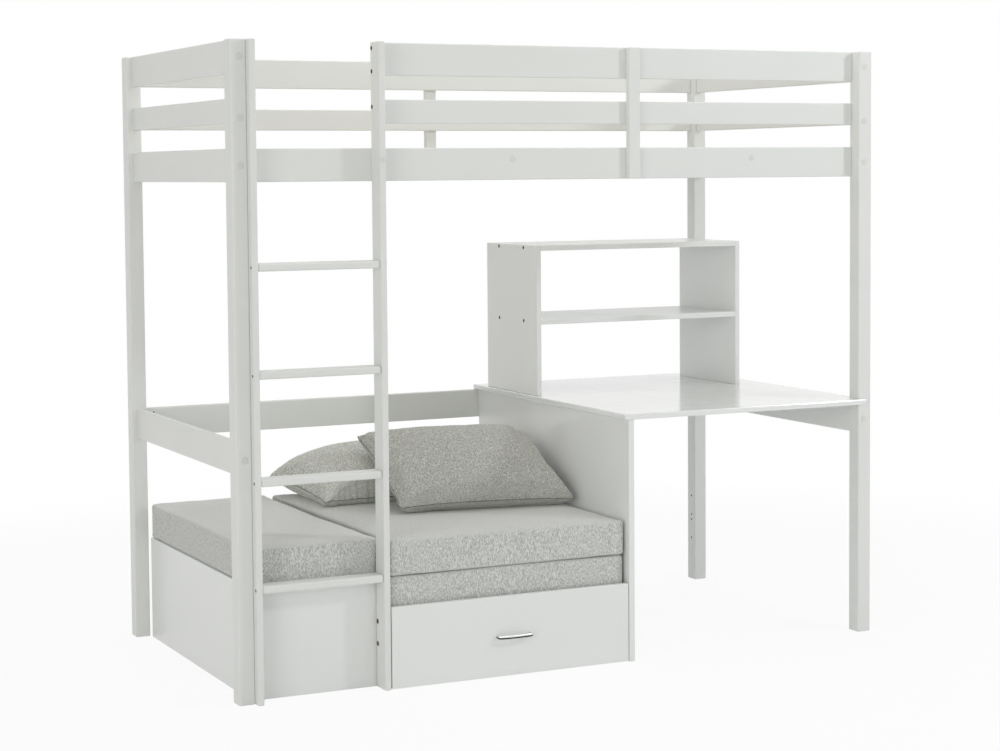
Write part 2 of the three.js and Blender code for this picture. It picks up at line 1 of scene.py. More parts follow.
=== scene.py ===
# The look of the loft bed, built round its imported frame. Metres, in the frame's own axes:
# +X along the bed from the ladder end to the desk end, +Y from the ladder side to the back, +Z up.
import json
import math

import bmesh
import bpy
import numpy as np
from mathutils import Matrix, Vector
from mathutils.bvhtree import BVHTree


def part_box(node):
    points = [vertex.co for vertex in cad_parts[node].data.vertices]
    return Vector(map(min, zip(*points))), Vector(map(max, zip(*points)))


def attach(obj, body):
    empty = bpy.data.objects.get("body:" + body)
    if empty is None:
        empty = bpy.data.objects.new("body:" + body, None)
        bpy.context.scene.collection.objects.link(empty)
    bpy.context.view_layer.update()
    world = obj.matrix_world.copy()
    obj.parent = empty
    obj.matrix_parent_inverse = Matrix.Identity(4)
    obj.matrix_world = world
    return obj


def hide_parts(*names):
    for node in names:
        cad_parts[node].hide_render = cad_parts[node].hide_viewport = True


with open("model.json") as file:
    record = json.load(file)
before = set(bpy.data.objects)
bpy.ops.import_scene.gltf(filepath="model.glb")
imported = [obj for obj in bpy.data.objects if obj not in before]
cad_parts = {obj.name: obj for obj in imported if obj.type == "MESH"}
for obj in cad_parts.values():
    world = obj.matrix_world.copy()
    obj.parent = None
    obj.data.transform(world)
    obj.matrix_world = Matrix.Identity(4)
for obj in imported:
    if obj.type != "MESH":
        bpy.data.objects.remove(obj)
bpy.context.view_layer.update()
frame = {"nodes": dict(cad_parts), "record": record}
nodes = frame["nodes"]

MM = 0.001

# The photograph's camera: its frame, focal length and upward shift in pixels, and its angles in radians.
# The shift stays small, so that the object also fits the frame when it is seen from another side
IMAGE_WIDTH = 1000
FOCAL_PIXELS = 2154.6
SHIFT_PIXELS = 70
CAMERA_YAW = 0.45066
CAMERA_PITCH = -0.06218
CAMERA_ROLL = -0.00765
CAMERA_PLACE = (-2.8027, -5.7902, 1.3934)
SENSOR_WIDTH = 36.0


def set_all(thing, settings):
    for key, value in settings.items():
        setattr(thing, key, value)


def new_object(name, data):
    thing = bpy.data.objects.new(name, data)
    bpy.context.scene.collection.objects.link(thing)
    return thing


def make_camera():
    data = bpy.data.cameras.new("camera")
    data.sensor_fit = "HORIZONTAL"
    data.sensor_width = SENSOR_WIDTH
    data.lens = SENSOR_WIDTH * FOCAL_PIXELS / IMAGE_WIDTH
    data.shift_y = -SHIFT_PIXELS / IMAGE_WIDTH
    camera = new_object("camera", data)
    sin_yaw, cos_yaw = math.sin(CAMERA_YAW), math.cos(CAMERA_YAW)
    sin_pitch, cos_pitch = math.sin(CAMERA_PITCH), math.cos(CAMERA_PITCH)
    forward = Vector((sin_yaw * cos_pitch, cos_yaw * cos_pitch, sin_pitch))
    level = Vector((cos_yaw, -sin_yaw, 0))
    upright = level.cross(forward)
    right = level * math.cos(CAMERA_ROLL) + upright * math.sin(CAMERA_ROLL)
    up = upright * math.cos(CAMERA_ROLL) - level * math.sin(CAMERA_ROLL)
    turn = Matrix((right, up, -forward)).transposed().to_4x4()
    camera.matrix_world = Matrix.Translation(CAMERA_PLACE) @ turn
    bpy.context.scene.camera = camera


make_camera()


def centre(node):
    low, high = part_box(node)
    return (low + high) / 2


# Shader nodes


class Graph:
    """The nodes of a material, or of the world, with short calls for the ones used here."""

    def __init__(self, name, world=False):
        self.owner = (bpy.data.worlds if world else bpy.data.materials).new(name)
        self.owner.use_nodes = True
        self.tree = self.owner.node_tree
        self.tree.nodes.clear()
        self.output = self.node("ShaderNodeOutputWorld" if world else "ShaderNodeOutputMaterial")
        coordinates = self.node("ShaderNodeTexCoord").outputs
        self.place = coordinates["Generated" if world else "Object"]
        self.normal = coordinates["Normal"]

    def node(self, kind, **settings):
        made = self.tree.nodes.new(kind)
        set_all(made, settings)
        return made

    def link(self, source, socket):
        if isinstance(source, bpy.types.NodeSocket):
            self.tree.links.new(source, socket)
        else:
            socket.default_value = source

    def scaled(self, scale, turn=(0, 0, 0)):
        node = self.node("ShaderNodeMapping")
        self.link(self.place, node.inputs["Vector"])
        node.inputs["Scale"].default_value = scale
        node.inputs["Rotation"].default_value = turn
        return node.outputs["Vector"]

    def noise(self, vector, scale, detail=2.0, roughness=0.5, distortion=0.0):
        node = self.node("ShaderNodeTexNoise")
        self.link(vector, node.inputs["Vector"])
        node.inputs["Scale"].default_value = scale
        node.inputs["Detail"].default_value = detail
        node.inputs["Roughness"].default_value = roughness
        node.inputs["Distortion"].default_value = distortion
        return node.outputs["Fac"]

    def wave(self, vector, scale, distortion=0.0, detail=2.0, direction="X"):
        node = self.node("ShaderNodeTexWave", wave_type="BANDS", bands_direction=direction)
        self.link(vector, node.inputs["Vector"])
        node.inputs["Scale"].default_value = scale
        node.inputs["Distortion"].default_value = distortion
        node.inputs["Detail"].default_value = detail
        return node.outputs["Fac"]

    def math(self, operation, first, second=0.0, clamp=False):
        node = self.node("ShaderNodeMath", operation=operation, use_clamp=clamp)
        self.link(first, node.inputs[0])
        self.link(second, node.inputs[1])
        return node.outputs[0]

    def ramp(self, value, *stops):
        node = self.node("ShaderNodeValToRGB")
        self.link(value, node.inputs["Fac"])
        elements = node.color_ramp.elements
        while len(elements) < len(stops):
            elements.new(0.5)
        for element, (position, colour) in zip(elements, stops):
            element.position = position
            element.color = (*colour, 1)
        return node.outputs["Color"]

    def mix(self, fac, first, second):
        node = self.node("ShaderNodeMix", data_type="RGBA")
        self.link(fac, node.inputs["Factor"])
        for source, socket in ((first, node.inputs[6]), (second, node.inputs[7])):
            self.link((*source, 1) if isinstance(source, tuple) else source, socket)
        return node.outputs[2]

    def range(self, value, low, high, start=0.0, end=1.0, kind="LINEAR"):
        """Takes a value between start and end to one between low and high."""
        node = self.node("ShaderNodeMapRange", interpolation_type=kind)
        names = ("Value", "From Min", "From Max", "To Min", "To Max")
        for source, name in zip((value, start, end, low, high), names):
            self.link(source, node.inputs[name])
        return node.outputs["Result"]

    def split(self, vector):
        node = self.node("ShaderNodeSeparateXYZ")
        self.link(vector, node.inputs[0])
        return node.outputs

    def bump(self, height, distance, strength=1.0, below=None):
        node = self.node("ShaderNodeBump")
        node.inputs["Distance"].default_value = distance
        node.inputs["Strength"].default_value = strength
        self.link(height, node.inputs["Height"])
        if below is not None:
            self.link(below, node.inputs["Normal"])
        return node.outputs["Normal"]

    def surface(self, colour, roughness, normal=None, **constants):
        shader = self.node("ShaderNodeBsdfPrincipled")
        self.link((*colour, 1) if isinstance(colour, tuple) else colour, shader.inputs["Base Color"])
        self.link(roughness, shader.inputs["Roughness"])
        if normal is not None:
            self.link(normal, shader.inputs["Normal"])
        for name, value in constants.items():
            shader.inputs[name.replace("_", " ")].default_value = value
        self.tree.links.new(shader.outputs[0], self.output.inputs["Surface"])
        return self.owner

    def shader(self, kind, colour, strength=None):
        node = self.node(kind)
        node.inputs["Color"].default_value = (*colour, 1)
        if strength is not None:
            self.link(strength, node.inputs["Strength"])
        return node.outputs[0]

    def blend(self, share, first, second):
        """Puts a blend of two shaders on the output."""
        node = self.node("ShaderNodeMixShader")
        for source, socket in zip((share, first, second), node.inputs):
            self.link(source, socket)
        self.link(node.outputs[0], self.output.inputs["Surface"])
        return self.owner

    def background_rays(self):
        """1 for rays that see the background: the camera's, and those through glass or off metal."""
        path = self.node("ShaderNodeLightPath").outputs
        either = self.math("MAXIMUM", path["Is Camera Ray"], path["Is Glossy Ray"])
        return self.math("MAXIMUM", either, path["Is Transmission Ray"])


AXES = "XYZ"

# In the materials below, a noise's scale is in features to the metre, and each pair of tones starts with the
# darker one. A grain share is the scale of the grain's pattern along the piece, as a share of that across it
LACQUER_GRAIN_SHARE = 0.045
LACQUER_TONES = ((0.785, 0.798, 0.778), (0.822, 0.834, 0.816))
LACQUER_SHADE = (0.70, 0.705, 0.685)
LACQUER_GRAIN_DEPTH = 0.16 * MM
LACQUER_PEEL_DEPTH = 0.04 * MM
FINE_DEPTH = 0.05 * MM  # of a board's sprayed finish, of scratches and of moulded plastic
BOARD_TONES = ((0.835, 0.850, 0.840), (0.865, 0.880, 0.870))
BOARD_SHADE = (0.76, 0.765, 0.75)
WOOD_GRAIN_SHARE = 0.06
WOOD_PORE_SHARE = 0.02
WOOD_EARLY_TONES = ((0.65, 0.60, 0.51), (0.70, 0.65, 0.56))
WOOD_LATE_TONE = (0.50, 0.43, 0.33)
WOOD_PORE_TONE = (0.42, 0.34, 0.24)
WOOD_GRAIN_DEPTH = 0.22 * MM


def grain_scale(axis, share):
    return tuple(share if i == axis else 1.0 for i in range(3))


# White satin lacquer on timber: the grain shows as faint ridges along the piece
def lacquer(axis):
    g = Graph(f"white_lacquer_{AXES[axis].lower()}")
    along = g.scaled(grain_scale(axis, LACQUER_GRAIN_SHARE))
    ridges = g.noise(along, 260, detail=4, roughness=0.6)
    waves = g.noise(along, 28, detail=3, distortion=1.2)
    mottle = g.noise(g.place, 4.5, detail=3)
    peel = g.noise(g.place, 420, detail=1)
    tone = g.mix(mottle, *LACQUER_TONES)
    colour = g.mix(g.range(waves, 0.0, 0.10), tone, LACQUER_SHADE)
    height = g.math("ADD", g.math("MULTIPLY", ridges, 0.7), g.math("MULTIPLY", waves, 0.5))
    normal = g.bump(height, LACQUER_GRAIN_DEPTH, 0.55)
    normal = g.bump(peel, LACQUER_PEEL_DEPTH, 0.5, below=normal)
    return g.surface(colour, g.range(waves, 0.34, 0.50), normal, Coat_Weight=0.12, Coat_Roughness=0.25)


# White lacquered board: smooth and flat, with the fine peel of a sprayed finish
def lacquered_board(name, gloss_low, gloss_high, coat):
    g = Graph(name)
    mottle = g.noise(g.place, 3.2, detail=4)
    cloud = g.noise(g.place, 17, detail=3)
    peel = g.noise(g.place, 300, detail=2)
    tone = g.mix(mottle, *BOARD_TONES)
    colour = g.mix(g.range(cloud, 0.0, 0.07), tone, BOARD_SHADE)
    normal = g.bump(peel, FINE_DEPTH, 0.45)
    return g.surface(colour, g.range(cloud, gloss_low, gloss_high), normal,
                     Coat_Weight=coat, Coat_Roughness=0.12)


# Planed softwood: growth rings seen as long bands, darker late wood, and fine pores
def softwood(axis):
    g = Graph(f"softwood_{AXES[axis].lower()}")
    along = g.scaled(grain_scale(axis, WOOD_GRAIN_SHARE))
    wander = g.noise(along, 9, detail=3)
    bands = g.wave(along, 14, distortion=5.0, detail=3, direction=AXES[(axis + 1) % 3])
    pores = g.noise(g.scaled(grain_scale(axis, WOOD_PORE_SHARE)), 900, detail=3)
    early = g.mix(wander, *WOOD_EARLY_TONES)
    colour = g.mix(g.range(bands, 0.0, 0.55), early, WOOD_LATE_TONE)
    colour = g.mix(g.range(pores, 0.0, 0.18), colour, WOOD_PORE_TONE)
    normal = g.bump(g.math("ADD", bands, g.math("MULTIPLY", pores, 0.8)), WOOD_GRAIN_DEPTH, 0.5)
    return g.surface(colour, g.range(pores, 0.52, 0.72), normal)


# Grey melange cloth: flecks and thicker slubs that run up the sides and back over the top, a fine weave, and
# painted top light that pales the faces that look up
FLECK_ACROSS = 520.0
SLUB_ACROSS = 260.0
WEAVE_SCALE = 0.314 / (1.5 * MM)  # a thread each 1.5 mm
SLUB_PALENESS = (0.10, 0.10, 0.10)
CLOUD_SHADE_SHARE = 0.09
THREAD_DEPTH = 0.3 * MM
FLECK_DEPTH = 0.7 * MM
SLUB_DEPTH = 0.5 * MM
SHEEN_TINT = (0.9, 0.9, 0.88, 1)


def melange(name, tones, side_share, top_share, wear_and_top_light=0.0, turn=(0, 0, 0)):
    """tones are dark, middle and light, the two shares are the scale of the flecks' pattern along them as a
    share of that across, and the last share is how far the faces that look up are painted paler: painted top
    light."""
    dark, middle, light = tones
    g = Graph(name)
    g.place = g.scaled((1, 1, 1), turn)
    up = g.math("POWER", g.math("ABSOLUTE", g.split(g.normal)[2]), 2.0)

    def both(kind):
        if side_share is None:
            return kind((1, top_share, 1))
        return g.mix(up, kind((1, 1, side_share)), kind((1, top_share, 1)))

    flecks = both(lambda scale: g.noise(g.scaled(scale), FLECK_ACROSS, detail=2, distortion=0.4))
    slubs = both(lambda scale: g.noise(g.scaled(scale), SLUB_ACROSS, detail=2))
    cloud = g.noise(g.place, 26, detail=4)
    yarn = g.ramp(flecks, (0.37, dark), (0.50, middle), (0.63, light))
    pale = g.mix(g.ramp(slubs, (0.52, (0, 0, 0)), (0.74, SLUB_PALENESS)), yarn, light)
    # Painted top light: faces that look up are mixed towards the light tone, by the given share
    painted_top_light = g.mix(g.range(up, 0.0, wear_and_top_light), pale, light)
    colour = g.mix(g.range(cloud, 0.0, CLOUD_SHADE_SHARE), painted_top_light, dark)
    across, along, upward = (g.wave(g.place, WEAVE_SCALE, 0.6, direction=axis) for axis in AXES)
    threads = g.math("ADD", g.math("MULTIPLY", across, upward), along)
    normal = g.bump(threads, THREAD_DEPTH, 0.3)
    normal = g.bump(flecks, FLECK_DEPTH, 0.4, below=normal)
    normal = g.bump(slubs, SLUB_DEPTH, 0.4, below=normal)
    return g.surface(colour, g.range(flecks, 0.82, 0.97), normal, Sheen_Weight=0.5, Sheen_Roughness=0.5,
                     Sheen_Tint=SHEEN_TINT, Specular_IOR_Level=0.2)


# The handle's bright upper half and dark lower half are a painted reflection: a painted highlight above and
# painted shade below, split at these heights
NICKEL_PAINTED_REFLECTION_TURN = (-0.2 * MM, 1.1 * MM)  # above its middle, where the handle's painted shade below turns to its painted highlight above
NICKEL_PAINTED_SHADE_TONES = ((0.05, 0.05, 0.047), (0.10, 0.10, 0.093))
NICKEL_PAINTED_HIGHLIGHT_TONE = (0.92, 0.92, 0.91)
ZINC_TONES = ((0.52, 0.53, 0.54), (0.64, 0.65, 0.66))
ZINC_SCUFF_TONE = (0.34, 0.34, 0.34)
ZINC_SCUFF_DEPTH = 0.08 * MM


def nickel_with_painted_reflection():
    g = Graph("satin_nickel")
    scratches = g.noise(g.scaled((0.02, 1, 1)), 1500, detail=3)
    painted_shade_mottle = g.noise(g.place, 60, detail=3)
    middle = centre("pull_out_handle").z
    # painted reflection: with height on the handle, the colour turns from painted shade to a painted
    # highlight
    level = g.range(g.split(g.place)[2], 0.0, 1.0, middle + NICKEL_PAINTED_REFLECTION_TURN[0], middle + NICKEL_PAINTED_REFLECTION_TURN[1])
    colour = g.mix(level, g.mix(painted_shade_mottle, *NICKEL_PAINTED_SHADE_TONES), NICKEL_PAINTED_HIGHLIGHT_TONE)
    normal = g.bump(scratches, FINE_DEPTH, 0.5)
    return g.surface(colour, g.range(scratches, 0.18, 0.38), normal, Metallic=1.0)


def zinc_steel():
    g = Graph("zinc_plated_steel")
    spangle = g.node("ShaderNodeTexVoronoi")
    g.link(g.place, spangle.inputs["Vector"])
    spangle.inputs["Scale"].default_value = 260
    facets = spangle.outputs["Distance"]
    scuffs = g.noise(g.place, 90, detail=4)
    colour = g.mix(g.range(scuffs, 0.0, 0.35), g.mix(facets, *ZINC_TONES), ZINC_SCUFF_TONE)
    normal = g.bump(scuffs, ZINC_SCUFF_DEPTH, 0.4)
    return g.surface(colour, g.range(scuffs, 0.28, 0.52), normal, Metallic=1.0)


def moulded_plastic(name, dark, light, rough_low, rough_high):
    g = Graph(name)
    texture = g.noise(g.place, 800, detail=2)
    wear_and_top_light = g.noise(g.place, 45, detail=4)
    normal = g.bump(texture, FINE_DEPTH, 0.5)
    return g.surface(g.mix(wear_and_top_light, dark, light), g.range(wear_and_top_light, rough_low, rough_high), normal)


LACQUER = [lacquer(axis) for axis in range(3)]
SOFTWOOD = [softwood(axis) for axis in range(3)]
BOARD = lacquered_board("white_board", 0.28, 0.40, 0.25)
DESK_BOARD = lacquered_board("white_desk_board", 0.13, 0.22, 0.5)
CUSHION_TONES = ((0.412, 0.420, 0.409), (0.612, 0.621, 0.604), (0.805, 0.813, 0.797))
# The same cloth twice: the box cushion's copy has far more painted top light, so its top shows paler
CUSHION_CLOTH, BOX_CUSHION_TOP_LIT_CLOTH = (
    melange(name, CUSHION_TONES, side_share=0.30, top_share=0.45, wear_and_top_light=wear_and_top_light)
    for name, wear_and_top_light in (("melange_cushion", 0.17), ("melange_box_cushion", 0.68)))
PILLOW_TONES = ((0.30, 0.303, 0.278), (0.495, 0.50, 0.465), (0.74, 0.744, 0.704))
# The pillows' seams are real sewn ridges, coloured dark as painted shade along the pillows' edges and where
# they rest
PILLOW_SEAM_SHADE_TONES = ((0.12, 0.12, 0.11), (0.20, 0.20, 0.185), (0.32, 0.32, 0.30))
PILLOW_SEAM_SHADE_CLOTH = melange("melange_seam_painted_shade", PILLOW_SEAM_SHADE_TONES, side_share=None, top_share=0.5)
NICKEL = nickel_with_painted_reflection()
ZINC = zinc_steel()
CASTOR_PLASTIC = moulded_plastic("castor_plastic", (0.018, 0.018, 0.02), (0.035, 0.035, 0.037), 0.42, 0.62)
CAP_PLASTIC = moulded_plastic("cap_plastic", (0.70, 0.71, 0.69), (0.75, 0.76, 0.74), 0.35, 0.5)
# Painted shade: a near-black disc that stands for the shade in holes and screw recesses
HOLE_PAINTED_SHADE = moulded_plastic("hole_shade", (0.03, 0.027, 0.024), (0.05, 0.046, 0.04), 0.9, 1.0)
HOLE_WOOD = moulded_plastic("bare_hole", (0.34, 0.19, 0.08), (0.45, 0.28, 0.13), 0.8, 0.95)

# For each slot, the materials of the pieces that run along X, Y and Z
BY_SLOT = {
    "lacquered_timber": LACQUER,
    "lacquered_board": [BOARD] * 3,
    "bare_timber": SOFTWOOD,
    "satin_nickel": [NICKEL] * 3,
    "zinc_plated_steel": [ZINC] * 3,
    "castor_plastic": [CASTOR_PLASTIC] * 3,
    "upholstery": [CUSHION_CLOTH] * 3,
}
SMOOTH_ANGLE = math.radians(50)


def long_axis(node):
    low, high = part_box(node)
    size = high - low
    return max(range(3), key=lambda i: size[i])


# Each carried node gets the finish of its slot, with the grain along it, and its eased edges shade round
def dress_frame():
    slots = {row["node"]: row["material_slot"] for row in frame["record"]["subparts"]}
    for name, thing in nodes.items():
        axis = long_axis(name)
        if name.endswith("slats_fixed") or name in ("deck_slat_roll", "pull_out_slats"):
            axis = 1
        material = DESK_BOARD if name == "desk_top" else BY_SLOT[slots[name]][axis]
        thing.data.materials.clear()
        thing.data.materials.append(material)
        for face in thing.data.polygons:
            face.use_smooth = True
        thing.data.set_sharp_from_angle(angle=SMOOTH_ANGLE)
        even = thing.modifiers.new("even_normals", "WEIGHTED_NORMAL")
        even.keep_sharp = True


dress_frame()


# Meshes


def new_piece(name, mesh_or_bmesh, material, body):
    if isinstance(mesh_or_bmesh, bmesh.types.BMesh):
        mesh = bpy.data.meshes.new(name)
        mesh_or_bmesh.to_mesh(mesh)
        mesh_or_bmesh.free()
    else:
        mesh = mesh_or_bmesh
    piece = new_object(name, mesh)
    piece.data.materials.append(material)
    for face in piece.data.polygons:
        face.use_smooth = True
    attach(piece, body)
    return piece


def turned_about(axis):
    """The turn that takes +Z to the named signed axis, such as -X."""
    sign = -1 if axis[0] == "-" else 1
    goal = Vector(tuple(sign if AXES[i] == axis[1] else 0 for i in range(3)))
    return Vector((0, 0, 1)).rotation_difference(goal).to_matrix().to_4x4()


def skin(bm, rings, closed=False, capped=False):
    """Joins rings of points with faces: round to the first ring if closed, and with end faces if capped."""
    pairs = list(zip(rings, rings[1:]))
    if closed:
        pairs.append((rings[-1], rings[0]))
    for one, two in pairs:
        for k in range(len(one)):
            n = (k + 1) % len(one)
            bm.faces.new((one[k], one[n], two[n], two[k]))
    if capped:
        bm.faces.new(rings[0])
        bm.faces.new(rings[-1][::-1])


ROUND_STEPS = 28


def add_turning(bm, profile, place, axis, ring=False):
    """Adds a turned form about an axis. The profile is (radius, height) pairs, from the foot outside to the
    middle of the face, or all the way round for a ring."""
    turn = Matrix.Translation(place) @ turned_about(axis)
    steps = [math.tau * i / ROUND_STEPS for i in range(ROUND_STEPS)]
    rows = []
    for radius, height in (profile if ring else profile[:-1]):
        circle = [Vector((radius * math.cos(a), radius * math.sin(a), height)) for a in steps]
        rows.append([bm.verts.new(turn @ point) for point in circle])
    skin(bm, rows, closed=ring)
    if ring:
        return
    tip = bm.verts.new(turn @ Vector((0, 0, profile[-1][1])))
    foot = bm.verts.new(turn @ Vector((0, 0, profile[0][1])))
    for i in range(ROUND_STEPS):
        j = (i + 1) % ROUND_STEPS
        bm.faces.new((rows[-1][i], rows[-1][j], tip))
        bm.faces.new((rows[0][j], rows[0][i], foot))


# Fasteners and holes. Each profile starts just inside the face that it lies on
SUNK = 0.6 * MM
HOLE_FLOOR_RISE = 0.1 * MM
HOLE_OVERLAP_SHARE = 1.02  # the floor's radius, as a share of the hole's


def cap_profile(radius, height):
    return [
        (radius, -SUNK), (radius, height * 0.55), (radius * 0.955, height * 0.9),
        (radius * 0.86, height), (radius * 0.4, height), (0, height),
    ]


def floor_profile(radius):
    """The floor that is seen in a hole or in a screw's recess: a dark disc of painted shade."""
    rise = HOLE_FLOOR_RISE
    return [(radius, -SUNK), (radius, rise), (radius * 0.6, rise * 0.7), (0, rise * 0.6)]


def rim_profile(radius, width, height):
    """The rim round a hole, or the flat head of a screw round its recess."""
    return [
        (radius, -SUNK), (radius, height * 0.6), (radius + width * 0.15, height),
        (radius + width * 0.75, height * 0.85), (radius + width, height * 0.15), (radius + width, -SUNK),
    ]


def fasteners(name, spots, profile, material, body, ring=False):
    bm = bmesh.new()
    for place, axis in spots:
        add_turning(bm, profile, Vector(place), axis, ring)
    bmesh.ops.recalc_face_normals(bm, faces=bm.faces)
    return new_piece(name, bm, material, body)


CAP_RADIUS = 9.5 * MM
CAP_HEIGHT = 1.1 * MM
SMALL_CAP_RADIUS = 8 * MM
SCREW_RECESS = 3.6 * MM
BOARD_SCREW_RECESS = 5.0 * MM
SCREW_HEAD_WIDTH = 1.2 * MM
SCREW_HEAD_HEIGHT = 0.3 * MM
HOLE_RADIUS = 6.2 * MM
POST_HOLE_RADIUS = 3.4 * MM
HOLE_RIM = 1.0 * MM
HOLE_RIM_HEIGHT = 0.35 * MM
MIDDLE_BOLT_DROP = 20 * MM  # the middle rail's bolt sits below the rail's middle


def rail_bolt_heights(side):
    return [
        centre(f"{side}_end_rail_top").z,
        centre(f"{side}_end_rail_middle").z - MIDDLE_BOLT_DROP,
        centre(f"{side}_end_rail_lower").z,
        centre(f"{side}_low_rail").z,
    ]


def bolt_caps():
    spots = []
    for side in ("left", "right"):
        x = centre(f"{side}_end_rail_top").x
        for row, axis in (("front", "-Y"), ("back", "+Y")):
            low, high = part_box(f"post_{row}_{side}")
            y = low.y if row == "front" else high.y
            spots += [((x, y, z), axis) for z in rail_bolt_heights(side)]
    fasteners("post_bolt_caps", spots, cap_profile(CAP_RADIUS, CAP_HEIGHT), CAP_PLASTIC,
              "frame")


LEDGER_BOLT_SHARES = (0.41, 0.815)  # along the side rail


def ledger_caps():
    spots = []
    z = centre("front_slat_ledger").z
    for row, axis in (("front", "-Y"), ("back", "+Y")):
        low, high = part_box(f"{row}_side_rail")
        y = low.y if row == "front" else high.y
        spots += [((low.x + share * (high.x - low.x), y, z), axis) for share in LEDGER_BOLT_SHARES]
    stile_low, stile_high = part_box("ladder_stile_right")
    spots.append((((stile_low.x + stile_high.x) / 2, stile_low.y, z), "-Y"))
    fasteners("side_rail_bolt_caps", spots, cap_profile(SMALL_CAP_RADIUS, CAP_HEIGHT), CAP_PLASTIC,
              "frame")


bolt_caps()
ledger_caps()


def screws(name, spots, radius=SCREW_RECESS):
    """Screw heads round a recess for the driver, whose floor is a dark disc of painted shade."""
    head = rim_profile(radius, SCREW_HEAD_WIDTH, SCREW_HEAD_HEIGHT)
    fasteners(f"{name}_screw_heads", spots, head, ZINC, "frame", ring=True)
    recess = floor_profile(radius * HOLE_OVERLAP_SHARE)
    fasteners(f"{name}_screw_recess_shade", spots, recess, HOLE_PAINTED_SHADE, "frame")


def holes(name, spots, radius, rim_material):
    rim = rim_profile(radius, HOLE_RIM, HOLE_RIM_HEIGHT)
    fasteners(f"{name}_hole_rims", spots, rim, rim_material, "frame", ring=True)
    floor = floor_profile(radius * HOLE_OVERLAP_SHARE)
    fasteners(f"{name}_hole_shade_discs", spots, floor, HOLE_PAINTED_SHADE, "frame")


STILE_SCREW_SETBACK = 6.5 * MM  # from the stile's front edge


def ladder_screws():
    spots = []
    for side, axis in (("left", "-X"), ("right", "+X")):
        low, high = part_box(f"ladder_stile_{side}")
        x = low.x if side == "left" else high.x
        for i in (1, 2, 3, 4):
            spots.append(((x, low.y + STILE_SCREW_SETBACK, centre(f"ladder_rung_{i}").z), axis))
    screws("ladder", spots)


ladder_screws()

HUTCH_SCREW_REACH = 86 * MM  # each side of the unit's middle


def hutch_screws():
    spots = []
    middle = centre("hutch_shelf").y
    for side, axis in (("left", "-X"), ("right", "+X")):
        low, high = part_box(f"hutch_side_{side}")
        x = low.x if side == "left" else high.x
        for board in ("hutch_top_board", "hutch_shelf"):
            for step in (-1, 1):
                spots.append(((x, middle + step * HUTCH_SCREW_REACH, centre(board).z), axis))
    screws("hutch", spots, BOARD_SCREW_RECESS)


hutch_screws()

STILE_HOLE_SETBACK = 9.5 * MM  # from the stile's back edge
STILE_UPPER_HOLES = (1.7235, 1.6617, 1.5678)  # heights over the floor in metres, like the next two rows
STILE_LOWER_HOLES = (0.181, 0.120)
POST_HOLES = (0.286, 0.222, 0.205, 0.142)
POST_HOLE_INSET = 22 * MM
LOW_RAIL_HOLE_INSET = 27.5 * MM
LOW_RAIL_HOLE_DROP = 15 * MM
STRUT_SCREW_INSET = 34 * MM


def open_holes():
    low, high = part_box("ladder_stile_right")
    y = high.y - STILE_HOLE_SETBACK
    holes("stile_upper", [((low.x, y, z), "-X") for z in STILE_UPPER_HOLES], HOLE_RADIUS, LACQUER[2])
    holes("stile_lower", [((low.x, y, z), "-X") for z in STILE_LOWER_HOLES], HOLE_RADIUS, HOLE_WOOD)
    post_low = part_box("post_back_right")[0]
    spots = [((post_low.x, post_low.y + POST_HOLE_INSET, z), "-X") for z in POST_HOLES]
    rail_low, rail_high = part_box("back_low_rail")
    spots.append(((rail_low.x + LOW_RAIL_HOLE_INSET, rail_low.y, rail_high.z - LOW_RAIL_HOLE_DROP), "-Y"))
    holes("post", spots, POST_HOLE_RADIUS, LACQUER[2])


open_holes()


def strut_screws():
    spots = []
    x = centre("front_strut").x
    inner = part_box("front_side_rail")[1].y
    for rail in ("front_guard_rail_top", "front_guard_rail_middle"):
        spots.append(((x, inner, centre(rail).z), "+Y"))
    x = centre("back_strut").x
    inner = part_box("back_side_rail")[0].y
    spots.append(((x, inner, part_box("back_guard_rail_top")[1].z - STRUT_SCREW_INSET), "-Y"))
    spots.append(((x, inner, centre("back_guard_rail_middle").z), "-Y"))
    screws("strut", spots)


strut_screws()


# The bow handle: a bar of flat oval section swept along the bow and bent back to the drawer at its ends
HANDLE_SECTION = (4.6 * MM, 1.9 * MM)  # half height and half thickness
HANDLE_STEPS = 40
SECTION_STEPS = 20
HANDLE_EASE_SHARE = 0.16  # of the bow's length, where it bends back at each end
HANDLE_END_SHARE = 0.62  # the bow's reach at its ends, as a share of that in its middle
HANDLE_SPACING_POWER = 1.15
HANDLE_BEND_POWER = 2.4
OVAL_POWER = 0.7


